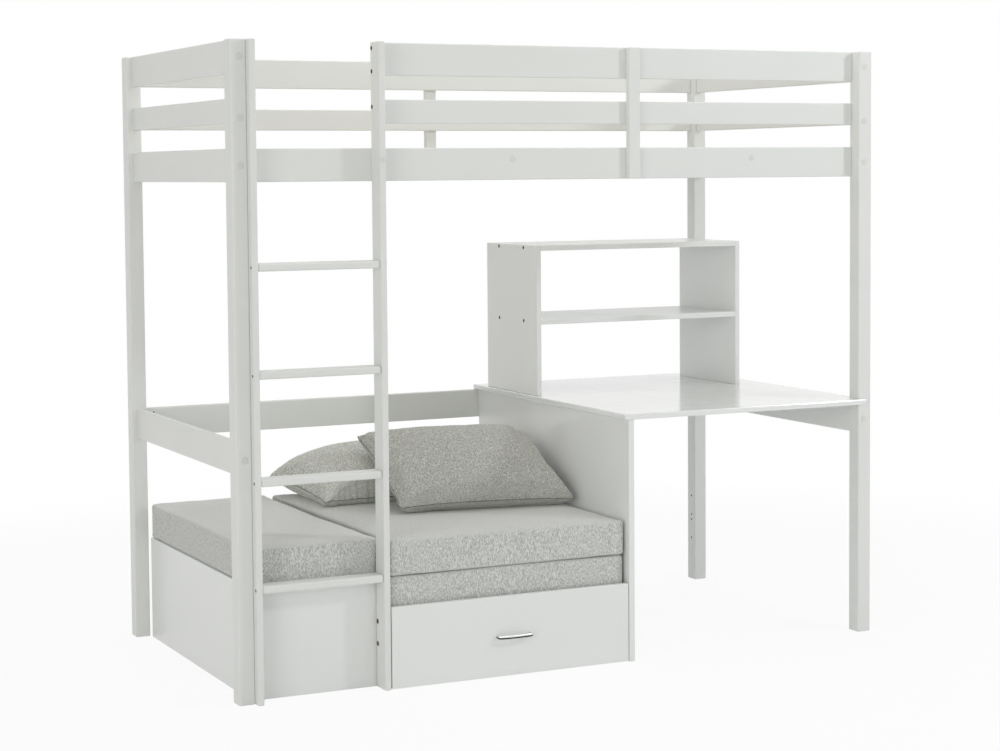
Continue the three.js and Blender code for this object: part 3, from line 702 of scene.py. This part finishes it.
def bow_handle():
    low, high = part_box("pull_out_handle")
    mid_x, mid_z = (low.x + high.x) / 2, (low.z + high.z) / 2
    front, back = low.y, high.y
    half = (high.x - low.x) / 2 - HANDLE_SECTION[1]
    reach = back - front - HANDLE_SECTION[1]
    path = []
    for i in range(HANDLE_STEPS + 1):
        t = 2 * i / HANDLE_STEPS - 1
        bow = reach * (1 - (1 - HANDLE_END_SHARE) * t * t)
        edge = max(0.0, (abs(t) - (1 - HANDLE_EASE_SHARE)) / HANDLE_EASE_SHARE)
        x = half * math.copysign(math.sin(abs(t) * math.pi / 2) ** HANDLE_SPACING_POWER, t)
        path.append(Vector((mid_x + x, back - bow * (1 - edge ** HANDLE_BEND_POWER), mid_z)))
    bm = bmesh.new()
    rings = []
    for i, point in enumerate(path):
        ahead = path[min(i + 1, HANDLE_STEPS)]
        behind = path[max(i - 1, 0)]
        run = (ahead - behind).normalized()
        side = run.cross(Vector((0, 0, 1))).normalized()
        ring = []
        for k in range(SECTION_STEPS):
            angle = math.tau * k / SECTION_STEPS
            oval = (abs(math.cos(angle)) ** OVAL_POWER, abs(math.sin(angle)) ** OVAL_POWER)
            up = math.copysign(oval[1], math.sin(angle)) * HANDLE_SECTION[0]
            out = math.copysign(oval[0], math.cos(angle)) * HANDLE_SECTION[1]
            ring.append(bm.verts.new(point + side * out + Vector((0, 0, up))))
        rings.append(ring)
    skin(bm, rings, capped=True)
    bmesh.ops.recalc_face_normals(bm, faces=bm.faces)
    handle = new_piece("bow_handle", bm, NICKEL, "pull_out")
    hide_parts("pull_out_handle")


bow_handle()


# Soft goods


def applied(thing):
    """The mesh of an object with its modifiers applied."""
    depsgraph = bpy.context.evaluated_depsgraph_get()
    depsgraph.update()
    return bpy.data.meshes.new_from_object(thing.evaluated_get(depsgraph))


def coordinates(mesh):
    co = np.empty(len(mesh.vertices) * 3, np.float64)
    mesh.vertices.foreach_get("co", co)
    return co.reshape(-1, 3)


def set_coordinates(mesh, co):
    mesh.vertices.foreach_set("co", np.ascontiguousarray(co, np.float32).ravel())
    mesh.update()


def modified(mesh, kind, **settings):
    """The mesh after one modifier with these settings."""
    thing = new_object("modifier_work", mesh)
    set_all(thing.modifiers.new("work", kind), settings)
    result = applied(thing)
    bpy.data.objects.remove(thing)
    return result


CLOTH_FRAMES = 20
CLOTH_SETTINGS = {
    "use_pressure": True, "quality": 5, "mass": 0.35, "tension_stiffness": 18, "compression_stiffness": 12,
    "shear_stiffness": 6, "bending_stiffness": 0.6,
}


def puffed(mesh, pressure, cap):
    """The mesh filled by a short cloth simulation, with each point's move held under cap."""
    before = coordinates(mesh)
    thing = new_object("cloth_work", mesh)
    modifier = thing.modifiers.new("cloth", "CLOTH")
    set_all(modifier.settings, CLOTH_SETTINGS)
    modifier.settings.uniform_pressure_force = pressure
    modifier.settings.effector_weights.gravity = 0
    modifier.collision_settings.use_collision = False
    modifier.point_cache.frame_start = 1
    modifier.point_cache.frame_end = CLOTH_FRAMES
    for step in range(1, CLOTH_FRAMES + 1):
        bpy.context.scene.frame_set(step)
    result = applied(thing)
    bpy.context.scene.frame_set(1)
    bpy.data.objects.remove(thing)
    move = coordinates(result) - before
    size = np.linalg.norm(move, axis=1, keepdims=True)
    set_coordinates(result, before + move * np.minimum(1.0, cap / np.maximum(size, 1e-9)))
    return result


def surface_tree(mesh):
    bm = bmesh.new()
    bm.from_mesh(mesh)
    tree = BVHTree.FromBMesh(bm)
    bm.free()
    return tree


def eased(excess, allowance):
    """A distance past a limit, pressed back so that it never passes the limit by more than the allowance."""
    return allowance * (1 - np.exp(-np.maximum(excess, 0) / allowance))


def held_inside(mesh, node, allowance):
    """Presses the points that stand out of a node's solid back towards it."""
    tree = surface_tree(nodes[node].data)
    co = coordinates(mesh)
    for i, point in enumerate(co):
        spot, normal, _, _ = tree.find_nearest(Vector(point))
        excess = (Vector(point) - spot).dot(normal)
        if excess > 0:
            co[i] = spot + normal * float(eased(excess, allowance))
    set_coordinates(mesh, co)


def held_off(mesh, other_tree, gap, reach):
    """Presses a soft piece's points out of the surface that it rests on."""
    co = coordinates(mesh)
    for i, point in enumerate(co):
        spot, normal, _, _ = other_tree.find_nearest(Vector(point), reach)
        if spot is not None and (Vector(point) - spot).dot(normal) < gap:
            co[i] = spot + normal * gap
    set_coordinates(mesh, co)


SEAM_SIDES = 8


def add_seam(bm, tree, points, radius, closed=True, sink=0.35):
    """A sewn ridge laid along the points where they meet the cloth, sunk by a share of its radius."""
    laid = []
    for point in points:
        spot, normal, _, _ = tree.find_nearest(Vector(point))
        laid.append((spot - normal * radius * sink, normal))
    count = len(laid)
    rings = []
    for i, (spot, normal) in enumerate(laid):
        ahead = laid[(i + 1) % count][0] if closed or i + 1 < count else spot
        behind = laid[i - 1][0] if closed or i > 0 else spot
        run = (ahead - behind).normalized()
        side = run.cross(normal).normalized()
        up = side.cross(run).normalized()
        turns = [math.tau * k / SEAM_SIDES for k in range(SEAM_SIDES)]
        rings.append([bm.verts.new(spot + radius * (math.cos(a) * side + math.sin(a) * up)) for a in turns])
    skin(bm, rings, closed=closed, capped=not closed)


# Foam cushions in a boxed cover. A grid laid over the box is rounded in plan and at its rims, the sides pull
# in between the corners and the top is crowned. Pressure then fills the cloth
CUSHION_GRID = 11 * MM
CUSHION_CORNER = 11 * MM
CUSHION_RIM = 8 * MM
CORNER_LINE_SHARES = (0.36, 0.55, 0.72, 0.86)
RIM_LINE_SHARES = (0.3, 0.65)
CUSHION_ROOM = 1.5 * MM  # left round the start shape for the cloth to swell into
CUSHION_DRAW_IN = 1.5 * MM
CUSHION_CAP = 6 * MM
CUSHION_PRESSURE = 3.0
CROWN_POWER = 2.6
CROWN_START_SHARE = 0.8  # how much of the crown the start shape has
CREST_ROOM = 1.5 * MM  # under the node's top, where the crown starts to be pressed flat
SLACK_HEIGHT = 1.3 * MM
SLACK_TURNS = (13.0, 9.0)  # radians to the metre
SLACK_PHASES = (0.7, 1.9)
UPRIGHT_SEAM_STEPS = 12
BOX_CROWN = 9 * MM
LOWER_CROWN = 2 * MM
UPPER_CROWN = 8 * MM
# How far each cushion's cloth rolls past its node at the left, right, front and back
BOX_PROUD = (4 * MM, 4 * MM, 1.5 * MM, 1.5 * MM)
LOWER_PROUD = (3 * MM, 3 * MM, 0.5 * MM, 1.5 * MM)
UPPER_PROUD = (3 * MM, 3 * MM, 6 * MM, 1.5 * MM)
# How much further the box cushion bulges at its right, and the place in Y where the bulge has died away
BOX_BULGE = 6 * MM
BULGE_END = 30 * MM
BULGE_LENGTH = 250 * MM
SEAM_RADIUS = 0.9 * MM


def grid_lines(half, edge, shares, spacing):
    """Line places from -half to half: close together within the edge zones, even between them."""
    zone = [half - edge + edge * share for share in (*shares, 1.0)]
    inner = half - edge
    count = max(2, round(2 * inner / spacing))
    return [-z for z in reversed(zone)] + list(np.linspace(-inner, inner, count + 1)) + zone


def lattice_shell(lines):
    """The outer skin of a lattice, as a closed mesh of quads: points, then faces."""
    last = [len(line) - 1 for line in lines]
    index, points, faces = {}, [], []

    def point(key):
        if key not in index:
            index[key] = len(points)
            points.append([lines[k][key[k]] for k in range(3)])
        return index[key]

    for axis in range(3):
        a, b = (axis + 1) % 3, (axis + 2) % 3
        for end in (0, last[axis]):
            for i in range(last[a]):
                for j in range(last[b]):
                    corners = []
                    for di, dj in ((0, 0), (1, 0), (1, 1), (0, 1)):
                        key = [0, 0, 0]
                        key[axis], key[a], key[b] = end, i + di, j + dj
                        corners.append(point(tuple(key)))
                    faces.append(corners if end else corners[::-1])
    return np.array(points), faces


def foam_form(half, corner, rim):
    """A rounded box about the origin, with upright edges of one radius and rims of another."""
    lines = [grid_lines(h, corner, CORNER_LINE_SHARES, CUSHION_GRID) for h in half[:2]]
    lines.append(grid_lines(half[2], rim, RIM_LINE_SHARES, CUSHION_GRID))
    points, faces = lattice_shell(lines)
    plan, height = points[:, :2], points[:, 2]
    sign = np.sign(plan)
    past = np.maximum(np.abs(plan) - (np.array(half[:2]) - corner), 0)
    reach = past.max(axis=1)
    over = np.maximum(reach - (corner - rim), 0)
    above = np.maximum(np.abs(height) - (half[2] - rim), 0)
    length = np.maximum(np.hypot(over, above), 1e-9)
    rounded = (over > 0) & (above > 0)
    new_reach = np.where(rounded, corner - rim + rim * over / length, reach)
    new_height = np.where(rounded, np.sign(height) * (half[2] - rim + rim * above / length), height)
    spread = np.maximum(np.hypot(past[:, 0], past[:, 1]), 1e-9)
    past = past * (new_reach / spread)[:, None]
    inner = np.minimum(np.abs(plan), np.array(half[:2]) - corner)
    return np.column_stack([sign * (inner + past), new_height]), faces


def boxed_outline(half, corner, inset, z, steps=6):
    """Points round a cushion's plan at one height."""
    corners = [(half[0] - corner, -half[1] + corner, -0.25), (half[0] - corner, half[1] - corner, 0.0),
               (-half[0] + corner, half[1] - corner, 0.25), (-half[0] + corner, -half[1] + corner, 0.5)]
    radius = corner - inset
    loop = []
    for x, y, start in corners:
        for i in range(steps + 1):
            angle = math.tau * (start + 0.25 * i / steps)
            loop.append(Vector((x + radius * math.cos(angle), y + radius * math.sin(angle), z)))
    dense = []
    for a, b in zip(loop, loop[1:] + loop[:1]):
        count = max(1, round((b - a).length / CUSHION_GRID))
        dense += [a.lerp(b, i / count) for i in range(count)]
    return dense


def side_bulge(u, y, bulge):
    """How far the right side bulges at a share u of the half width and a place y."""
    fade = np.clip((BULGE_END - y) / BULGE_LENGTH, 0, 1)
    return bulge * np.clip(u, 0, 1) ** 3 * fade * fade * (3 - 2 * fade)


def cushion_seams(name, mesh, middle, half, body, bulge, cloth):
    def placed(point):
        swell = float(side_bulge(point.x / half[0], middle.y + point.y, bulge))
        return middle + point + Vector((swell, 0, 0))

    tree = surface_tree(mesh)
    bm = bmesh.new()
    fold = CUSHION_RIM * (1 - math.sqrt(0.5))
    for side in (1, -1):
        outline = boxed_outline(half, CUSHION_CORNER, fold, side * (half[2] - fold))
        add_seam(bm, tree, [placed(point) for point in outline], SEAM_RADIUS)
    bend = CUSHION_CORNER * (1 - math.sqrt(0.5))
    for sx, sy in ((-1, -1), (1, -1), (1, 1), (-1, 1)):
        x, y = sx * (half[0] - bend), sy * (half[1] - bend)
        top = half[2] - CUSHION_RIM
        heights = np.linspace(top, -top, UPRIGHT_SEAM_STEPS + 1)
        add_seam(bm, tree, [placed(Vector((x, y, z))) for z in heights], SEAM_RADIUS, closed=False)
    new_piece(f"{name}_seams", bm, cloth, body)


def foam_cushion(node, name, body, crown, proud, bulge=0.0, cloth=CUSHION_CLOTH):
    low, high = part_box(node)
    low.x -= proud[0]
    high.x += proud[1]
    low.y -= proud[2]
    high.y += proud[3]
    middle = (low + high) / 2
    middle.z -= crown / 2
    half = [(high.x - low.x) / 2, (high.y - low.y) / 2, (high.z - low.z - crown) / 2]
    start = [half[0] - CUSHION_ROOM, half[1] - CUSHION_ROOM, half[2]]
    co, faces = foam_form(start, CUSHION_CORNER, CUSHION_RIM)
    u, v = co[:, 0] / half[0], co[:, 1] / half[1]
    rise = (co[:, 2] / half[2] + 1) / 2
    co[:, 0] -= u * CUSHION_DRAW_IN * (1 - v * v)
    co[:, 1] -= v * CUSHION_DRAW_IN * (1 - u * u)
    dome = (1 - np.abs(np.clip(u, -1, 1)) ** CROWN_POWER) * (1 - np.abs(np.clip(v, -1, 1)) ** CROWN_POWER)
    co[:, 2] += rise ** 2 * crown * CROWN_START_SHARE * dome
    co += np.array(middle)
    swell = np.zeros_like(co)
    swell[:, 0] = side_bulge(u, co[:, 1], bulge)
    mesh = bpy.data.meshes.new(name)
    mesh.from_pydata((co + swell).tolist(), [], faces)
    mesh = puffed(mesh, CUSHION_PRESSURE, CUSHION_CAP)

    co = coordinates(mesh) - swell
    slack = np.prod(np.sin(co[:, :2] * SLACK_TURNS + SLACK_PHASES), axis=1)
    top = np.clip((co[:, 2] - middle.z) / half[2], 0, 1) ** 3
    co[:, 2] += top * slack * SLACK_HEIGHT
    for k in range(2):
        offset = co[:, k] - middle[k]
        excess = np.abs(offset) - start[k]
        pressed = np.sign(offset) * (start[k] + eased(excess, CUSHION_ROOM))
        co[:, k] = middle[k] + np.where(excess > 0, pressed, offset)
    co[:, 2] = np.maximum(co[:, 2], low.z)
    crest = high.z - CREST_ROOM
    co[:, 2] = np.where(co[:, 2] > crest, crest + eased(co[:, 2] - crest, CREST_ROOM), co[:, 2])
    set_coordinates(mesh, co + swell)
    cushion = new_piece(name, mesh, cloth, body)
    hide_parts(node)
    cushion_seams(name, mesh, middle, start, body, bulge, cloth)
    return cushion


foam_cushion("cushion_box", "box_seat_cushion", "box_cushion", BOX_CROWN, BOX_PROUD, BOX_BULGE,
             BOX_CUSHION_TOP_LIT_CLOTH)
foam_cushion("cushion_seat_lower", "pull_out_cushion_lower", "seat_cushion_lower", LOWER_CROWN, LOWER_PROUD)
seat = foam_cushion("cushion_seat_upper", "pull_out_cushion_upper", "seat_cushion_upper", UPPER_CROWN,
                    UPPER_PROUD)

# Pillows: two sheets sewn round the edge. Each sheet swells from the seam, the sides pull in between the
# corners, and gathers run in from the seam
PILLOW_VOXEL = 6 * MM
PILLOW_PRESSURE = 4.0
PILLOW_CAP = 12 * MM
PILLOW_STEPS = (34, 24)
PILLOW_DRAW_IN = 12 * MM
PILLOW_ROOM = 2.5 * MM  # left round the start shape for the cloth to swell into
PILLOW_START_SHARE = 0.97  # of the full swell
SWELL_POWER = 2.4
GATHER_WAVE_HEIGHT = 1.0625 * MM
GATHER_REACH = 30 * MM
GATHER_START = 4.5 * MM
GATHER_WAVES = (19 * MM, 31 * MM, 47 * MM)
CREASE_HEIGHT = 2.4 * MM
CREASE_REACH = 45 * MM  # from a corner
CREASE_START = 12 * MM
CREASE_COUNT = 8  # round a full turn about the corner
FOLD_HEIGHT = 3.0 * MM
FOLD_MARGIN = 60 * MM
FOLD_TURNS = ((17.0, 9.0), (-6.0, 21.0))  # radians to the metre in x and y, of two waves that cross
PILLOW_REST_REACH = 50 * MM
PILLOW_SEAM_PARTS = 3  # to each edge of the start shape's rim
PILLOW_SEAM_RADIUS = 1.3 * MM
PILLOW_SEAM_SINK = -0.2
PILLOW_ALLOWANCE = 4 * MM
SOFT_GAP = 0.6 * MM


def rounded_corners(x, y, width, depth, corners):
    """Rounds the pillow's plan. The radii are those at left front, right front, right back and left back."""
    radius = corners[(1 if x > 0 else 0) if y < 0 else (2 if x > 0 else 3)]
    past_x = max(abs(x) - (width / 2 - radius), 0)
    past_y = max(abs(y) - (depth / 2 - radius), 0)
    if past_x * past_y == 0:
        return x, y
    share = max(past_x, past_y) / math.hypot(past_x, past_y)
    x = math.copysign(width / 2 - radius + past_x * share, x)
    return x, math.copysign(depth / 2 - radius + past_y * share, y)


def pillow_form(width, depth, swell, corners):
    """The closed form in the pillow's own axes, as points and faces, and the points of its seam."""
    count_u, count_v = PILLOW_STEPS
    points, faces, index = [], [], {}
    for side in (1, -1):
        for i in range(count_u + 1):
            for j in range(count_v + 1):
                if side < 0 and (i in (0, count_u) or j in (0, count_v)):
                    index[side, i, j] = index[1, i, j]
                    continue
                u = math.sin((i / count_u - 0.5) * math.pi)
                v = math.sin((j / count_v - 0.5) * math.pi)
                rise = math.sqrt(max(0.0, (1 - abs(u) ** SWELL_POWER) * (1 - abs(v) ** SWELL_POWER)))
                x, y = rounded_corners(u * width / 2, v * depth / 2, width, depth, corners)
                x *= 1 - PILLOW_DRAW_IN / width * 2 * (1 - v * v) * u * u
                y *= 1 - PILLOW_DRAW_IN / depth * 2 * (1 - u * u) * v * v
                index[side, i, j] = len(points)
                points.append((x, y, rise * (swell[0] if side > 0 else -swell[1])))
    for side in (1, -1):
        for i in range(count_u):
            for j in range(count_v):
                face = [index[side, a, b] for a, b in ((i, j), (i + 1, j), (i + 1, j + 1), (i, j + 1))]
                faces.append(face if side > 0 else face[::-1])
    rim = [(i, 0) for i in range(count_u)] + [(count_u, j) for j in range(count_v)]
    rim += [(i, count_v) for i in range(count_u, 0, -1)] + [(0, j) for j in range(count_v, 0, -1)]
    return np.array(points), faces, [points[index[1, i, j]] for i, j in rim]


def moved(matrix, co):
    turn = np.array(matrix.to_3x3())
    return co @ turn.T + np.array(matrix.translation)


SQUARE_CORNERS = (0, 0, 0, 0)


def pillow_place(node, size, swell, tilt, turn, skew):
    """Where the pillow lies: its full form, turned, has to fill the node's box up to its top."""
    turning = Matrix.Rotation(math.radians(turn), 4, "Z") @ Matrix.Rotation(math.radians(tilt), 4, "X")
    shear = Matrix.Identity(4)
    shear[0][1] = skew
    lean = shear @ turning
    form = moved(lean, pillow_form(*size, swell, SQUARE_CORNERS)[0])
    low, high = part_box(node)
    middle = (np.array(low) + np.array(high)) / 2 - (form.min(axis=0) + form.max(axis=0)) / 2
    return Matrix.Translation((middle[0], middle[1], high.z - form[:, 2].max())) @ lean


def gathers(co, size, phase):
    """Heights of the cloth's small gathers and soft folds, from places in the pillow's own axes."""
    x, y = co[:, 0], co[:, 1]
    to_side = np.maximum(size[0] / 2 - np.abs(x), 0)
    to_end = np.maximum(size[1] / 2 - np.abs(y), 0)
    total = np.zeros(len(co))
    for distance, along in ((to_side, y), (to_end, x)):
        near = np.exp(-distance / GATHER_REACH) * (1 - np.exp(-distance / GATHER_START))
        for k, wave in enumerate(GATHER_WAVES):
            total += near * np.sin(math.tau * along / wave + phase * (k + 1)) * GATHER_WAVE_HEIGHT
    for k, (side, end) in enumerate(((-1, -1), (1, -1), (1, 1), (-1, 1))):
        from_side, from_end = side * size[0] / 2 - x, end * size[1] / 2 - y
        away = np.hypot(from_side, from_end)
        near = np.exp(-away / CREASE_REACH) * np.clip(away / CREASE_START, 0, 1)
        total += near * np.sin(CREASE_COUNT * np.arctan2(from_end, from_side) + phase + k) * CREASE_HEIGHT
    first, second = (x * in_x + y * in_y for in_x, in_y in FOLD_TURNS)
    folds = np.sin(first + phase) * np.sin(second + 2 * phase)
    return total + folds * FOLD_HEIGHT * np.clip(np.minimum(to_side, to_end) / FOLD_MARGIN, 0, 1)


def pillow(node, name, body, size, swell, lie, corners, phase, painted_light_scale, rests_on):
    """swell is the height over and under the seam, lie the tilt and turn in degrees and the sideways skew,
    corners the radii of the plan, phase shifts the gathers, and the scale after phase multiplies the
    cloth's tones: painted light that makes one pillow paler than the other."""
    lean = Matrix.Rotation(math.radians(lie[1]), 3, "Z") @ Matrix.Rotation(math.radians(lie[0]), 3, "X")
    tones = [tuple(painted_light_scale * part for part in tone) for tone in PILLOW_TONES]
    cloth = melange(f"melange_{name}", tones, side_share=None, top_share=0.3,
                    turn=lean.inverted().to_euler())
    place = pillow_place(node, size, swell, *lie)
    start = [side - 2 * PILLOW_ROOM for side in size]
    co, faces, rim = pillow_form(*start, [height * PILLOW_START_SHARE for height in swell], corners)
    mesh = bpy.data.meshes.new(name)
    mesh.from_pydata(co.tolist(), [], faces)
    mesh = modified(mesh, "REMESH", mode="VOXEL", voxel_size=PILLOW_VOXEL)
    mesh = modified(puffed(mesh, PILLOW_PRESSURE, PILLOW_CAP), "SUBSURF", levels=1, render_levels=1)
    co = coordinates(mesh)
    normals = np.empty(len(mesh.vertices) * 3)
    mesh.vertices.foreach_get("normal", normals)
    co += normals.reshape(-1, 3) * gathers(co, size, phase)[:, None]
    set_coordinates(mesh, moved(place, co))
    held_inside(mesh, node, PILLOW_ALLOWANCE)
    for tree in rests_on:
        held_off(mesh, tree, SOFT_GAP, PILLOW_REST_REACH)
    piece = new_piece(name, mesh, cloth, body)
    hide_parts(node)
    tree = surface_tree(mesh)
    bm = bmesh.new()
    rim = [place @ Vector(point) for point in rim]
    parts = [t / PILLOW_SEAM_PARTS for t in range(PILLOW_SEAM_PARTS)]
    dense = [a.lerp(b, part) for a, b in zip(rim, rim[1:] + rim[:1]) for part in parts]
    add_seam(bm, tree, dense, PILLOW_SEAM_RADIUS, sink=PILLOW_SEAM_SINK)
    # A sewn seam in dark cloth: painted shade along the pillow's edge
    new_piece(f"{name}_seam", bm, PILLOW_SEAM_SHADE_CLOTH, body)
    return tree


seat_tree = surface_tree(seat.data)
BACK_PILLOW_SIZE = (600 * MM, 390 * MM)
BACK_PILLOW_SWELL = (124 * MM, 60 * MM)
BACK_PILLOW_LIE = (6, 0, -0.115)
BACK_PILLOW_CORNERS = (12 * MM, 12 * MM, 40 * MM, 20 * MM)
FRONT_PILLOW_SIZE = (544 * MM, 398 * MM)
FRONT_PILLOW_SWELL = (75 * MM, 75 * MM)
FRONT_PILLOW_LIE = (27.5, -8, -0.14)
FRONT_PILLOW_CORNERS = (18 * MM, 6 * MM, 85 * MM, 8 * MM)
# The back pillow's cloth is painted paler than the front pillow's: painted light on the same cloth
back_tree = pillow("pillow_back", "back_pillow", "back_pillow", BACK_PILLOW_SIZE, BACK_PILLOW_SWELL,
                   BACK_PILLOW_LIE, BACK_PILLOW_CORNERS, phase=0.9, painted_light_scale=1.28, rests_on=[seat_tree])
pillow("pillow_front", "front_pillow", "front_pillow", FRONT_PILLOW_SIZE, FRONT_PILLOW_SWELL,
       FRONT_PILLOW_LIE, FRONT_PILLOW_CORNERS, phase=2.2, painted_light_scale=1.0, rests_on=[seat_tree, back_tree])


# Stage: a pale floor under a white backdrop, a soft key light from the front right, a fill from the left
# and a wide light overhead
HORIZON_STRENGTH = 0.62
ZENITH_STRENGTH = 0.36
WORLD_COLOUR = (1.0, 1.0, 0.975)
FLOOR_HALF = 14.0
FLOOR_COLOUR = (0.92, 0.92, 0.92)
PLAIN_WHITE = (1, 1, 1)
FLOOR_GLOW_SHARE = 0.90  # of what the camera sees of the floor near the object
GLOW_START = 1.9  # metres from the middle, where the floor starts to turn plain white
GLOW_END = 3.6


def make_world():
    g = Graph("studio", world=True)
    height = g.math("ABSOLUTE", g.split(g.place)[2])
    fill = g.shader("ShaderNodeBackground", WORLD_COLOUR, g.range(height, HORIZON_STRENGTH, ZENITH_STRENGTH))
    seen = g.shader("ShaderNodeBackground", PLAIN_WHITE, 1.0)
    bpy.context.scene.world = g.blend(g.background_rays(), fill, seen)


def make_floor():
    bm = bmesh.new()
    corners = [(-1, -1), (1, -1), (1, 1), (-1, 1)]
    bm.faces.new([bm.verts.new((x * FLOOR_HALF, y * FLOOR_HALF, 0)) for x, y in corners])
    mesh = bpy.data.meshes.new("floor")
    bm.to_mesh(mesh)
    bm.free()
    floor = new_object("floor", mesh)
    g = Graph("floor")
    matte = g.shader("ShaderNodeBsdfDiffuse", FLOOR_COLOUR)
    glow = g.shader("ShaderNodeEmission", PLAIN_WHITE, 1.0)
    away = g.node("ShaderNodeVectorMath", operation="LENGTH")
    g.link(g.place, away.inputs[0])
    fade = g.range(away.outputs["Value"], FLOOR_GLOW_SHARE, 1.0, GLOW_START, GLOW_END, kind="SMOOTHSTEP")
    mesh.materials.append(g.blend(g.math("MULTIPLY", g.background_rays(), fade), matte, glow))


def area_light(name, place, aim, size, power, colour):
    data = bpy.data.lights.new(name, "AREA")
    data.shape = "SQUARE"
    data.size = size
    data.energy = power
    data.color = colour
    light = new_object(name, data)
    direction = Vector(aim) - Vector(place)
    light.matrix_world = Matrix.Translation(place) @ direction.to_track_quat("-Z", "Y").to_matrix().to_4x4()


# Each light: place, aim, side of its square in metres, power in watts and colour
LIGHTS = {
    "key": ((3.3, -3.2, 3.0), (0.2, 0.0, 0.8), 0.45, 42.0, (0.945, 0.985, 1.0)),
    "fill": ((-7.5, -6.0, 2.2), (0.0, 0.0, 0.8), 4.0, 140.0, (1.0, 1.0, 0.965)),
    "overhead": ((0.2, 0.0, 4.6), (0.2, 0.0, 0.0), 3.0, 75.0, (1.0, 1.0, 1.0)),
}

make_world()
make_floor()
for light_name, light_row in LIGHTS.items():
    area_light(light_name, *light_row)
bpy.context.scene.view_settings.view_transform = "Standard"
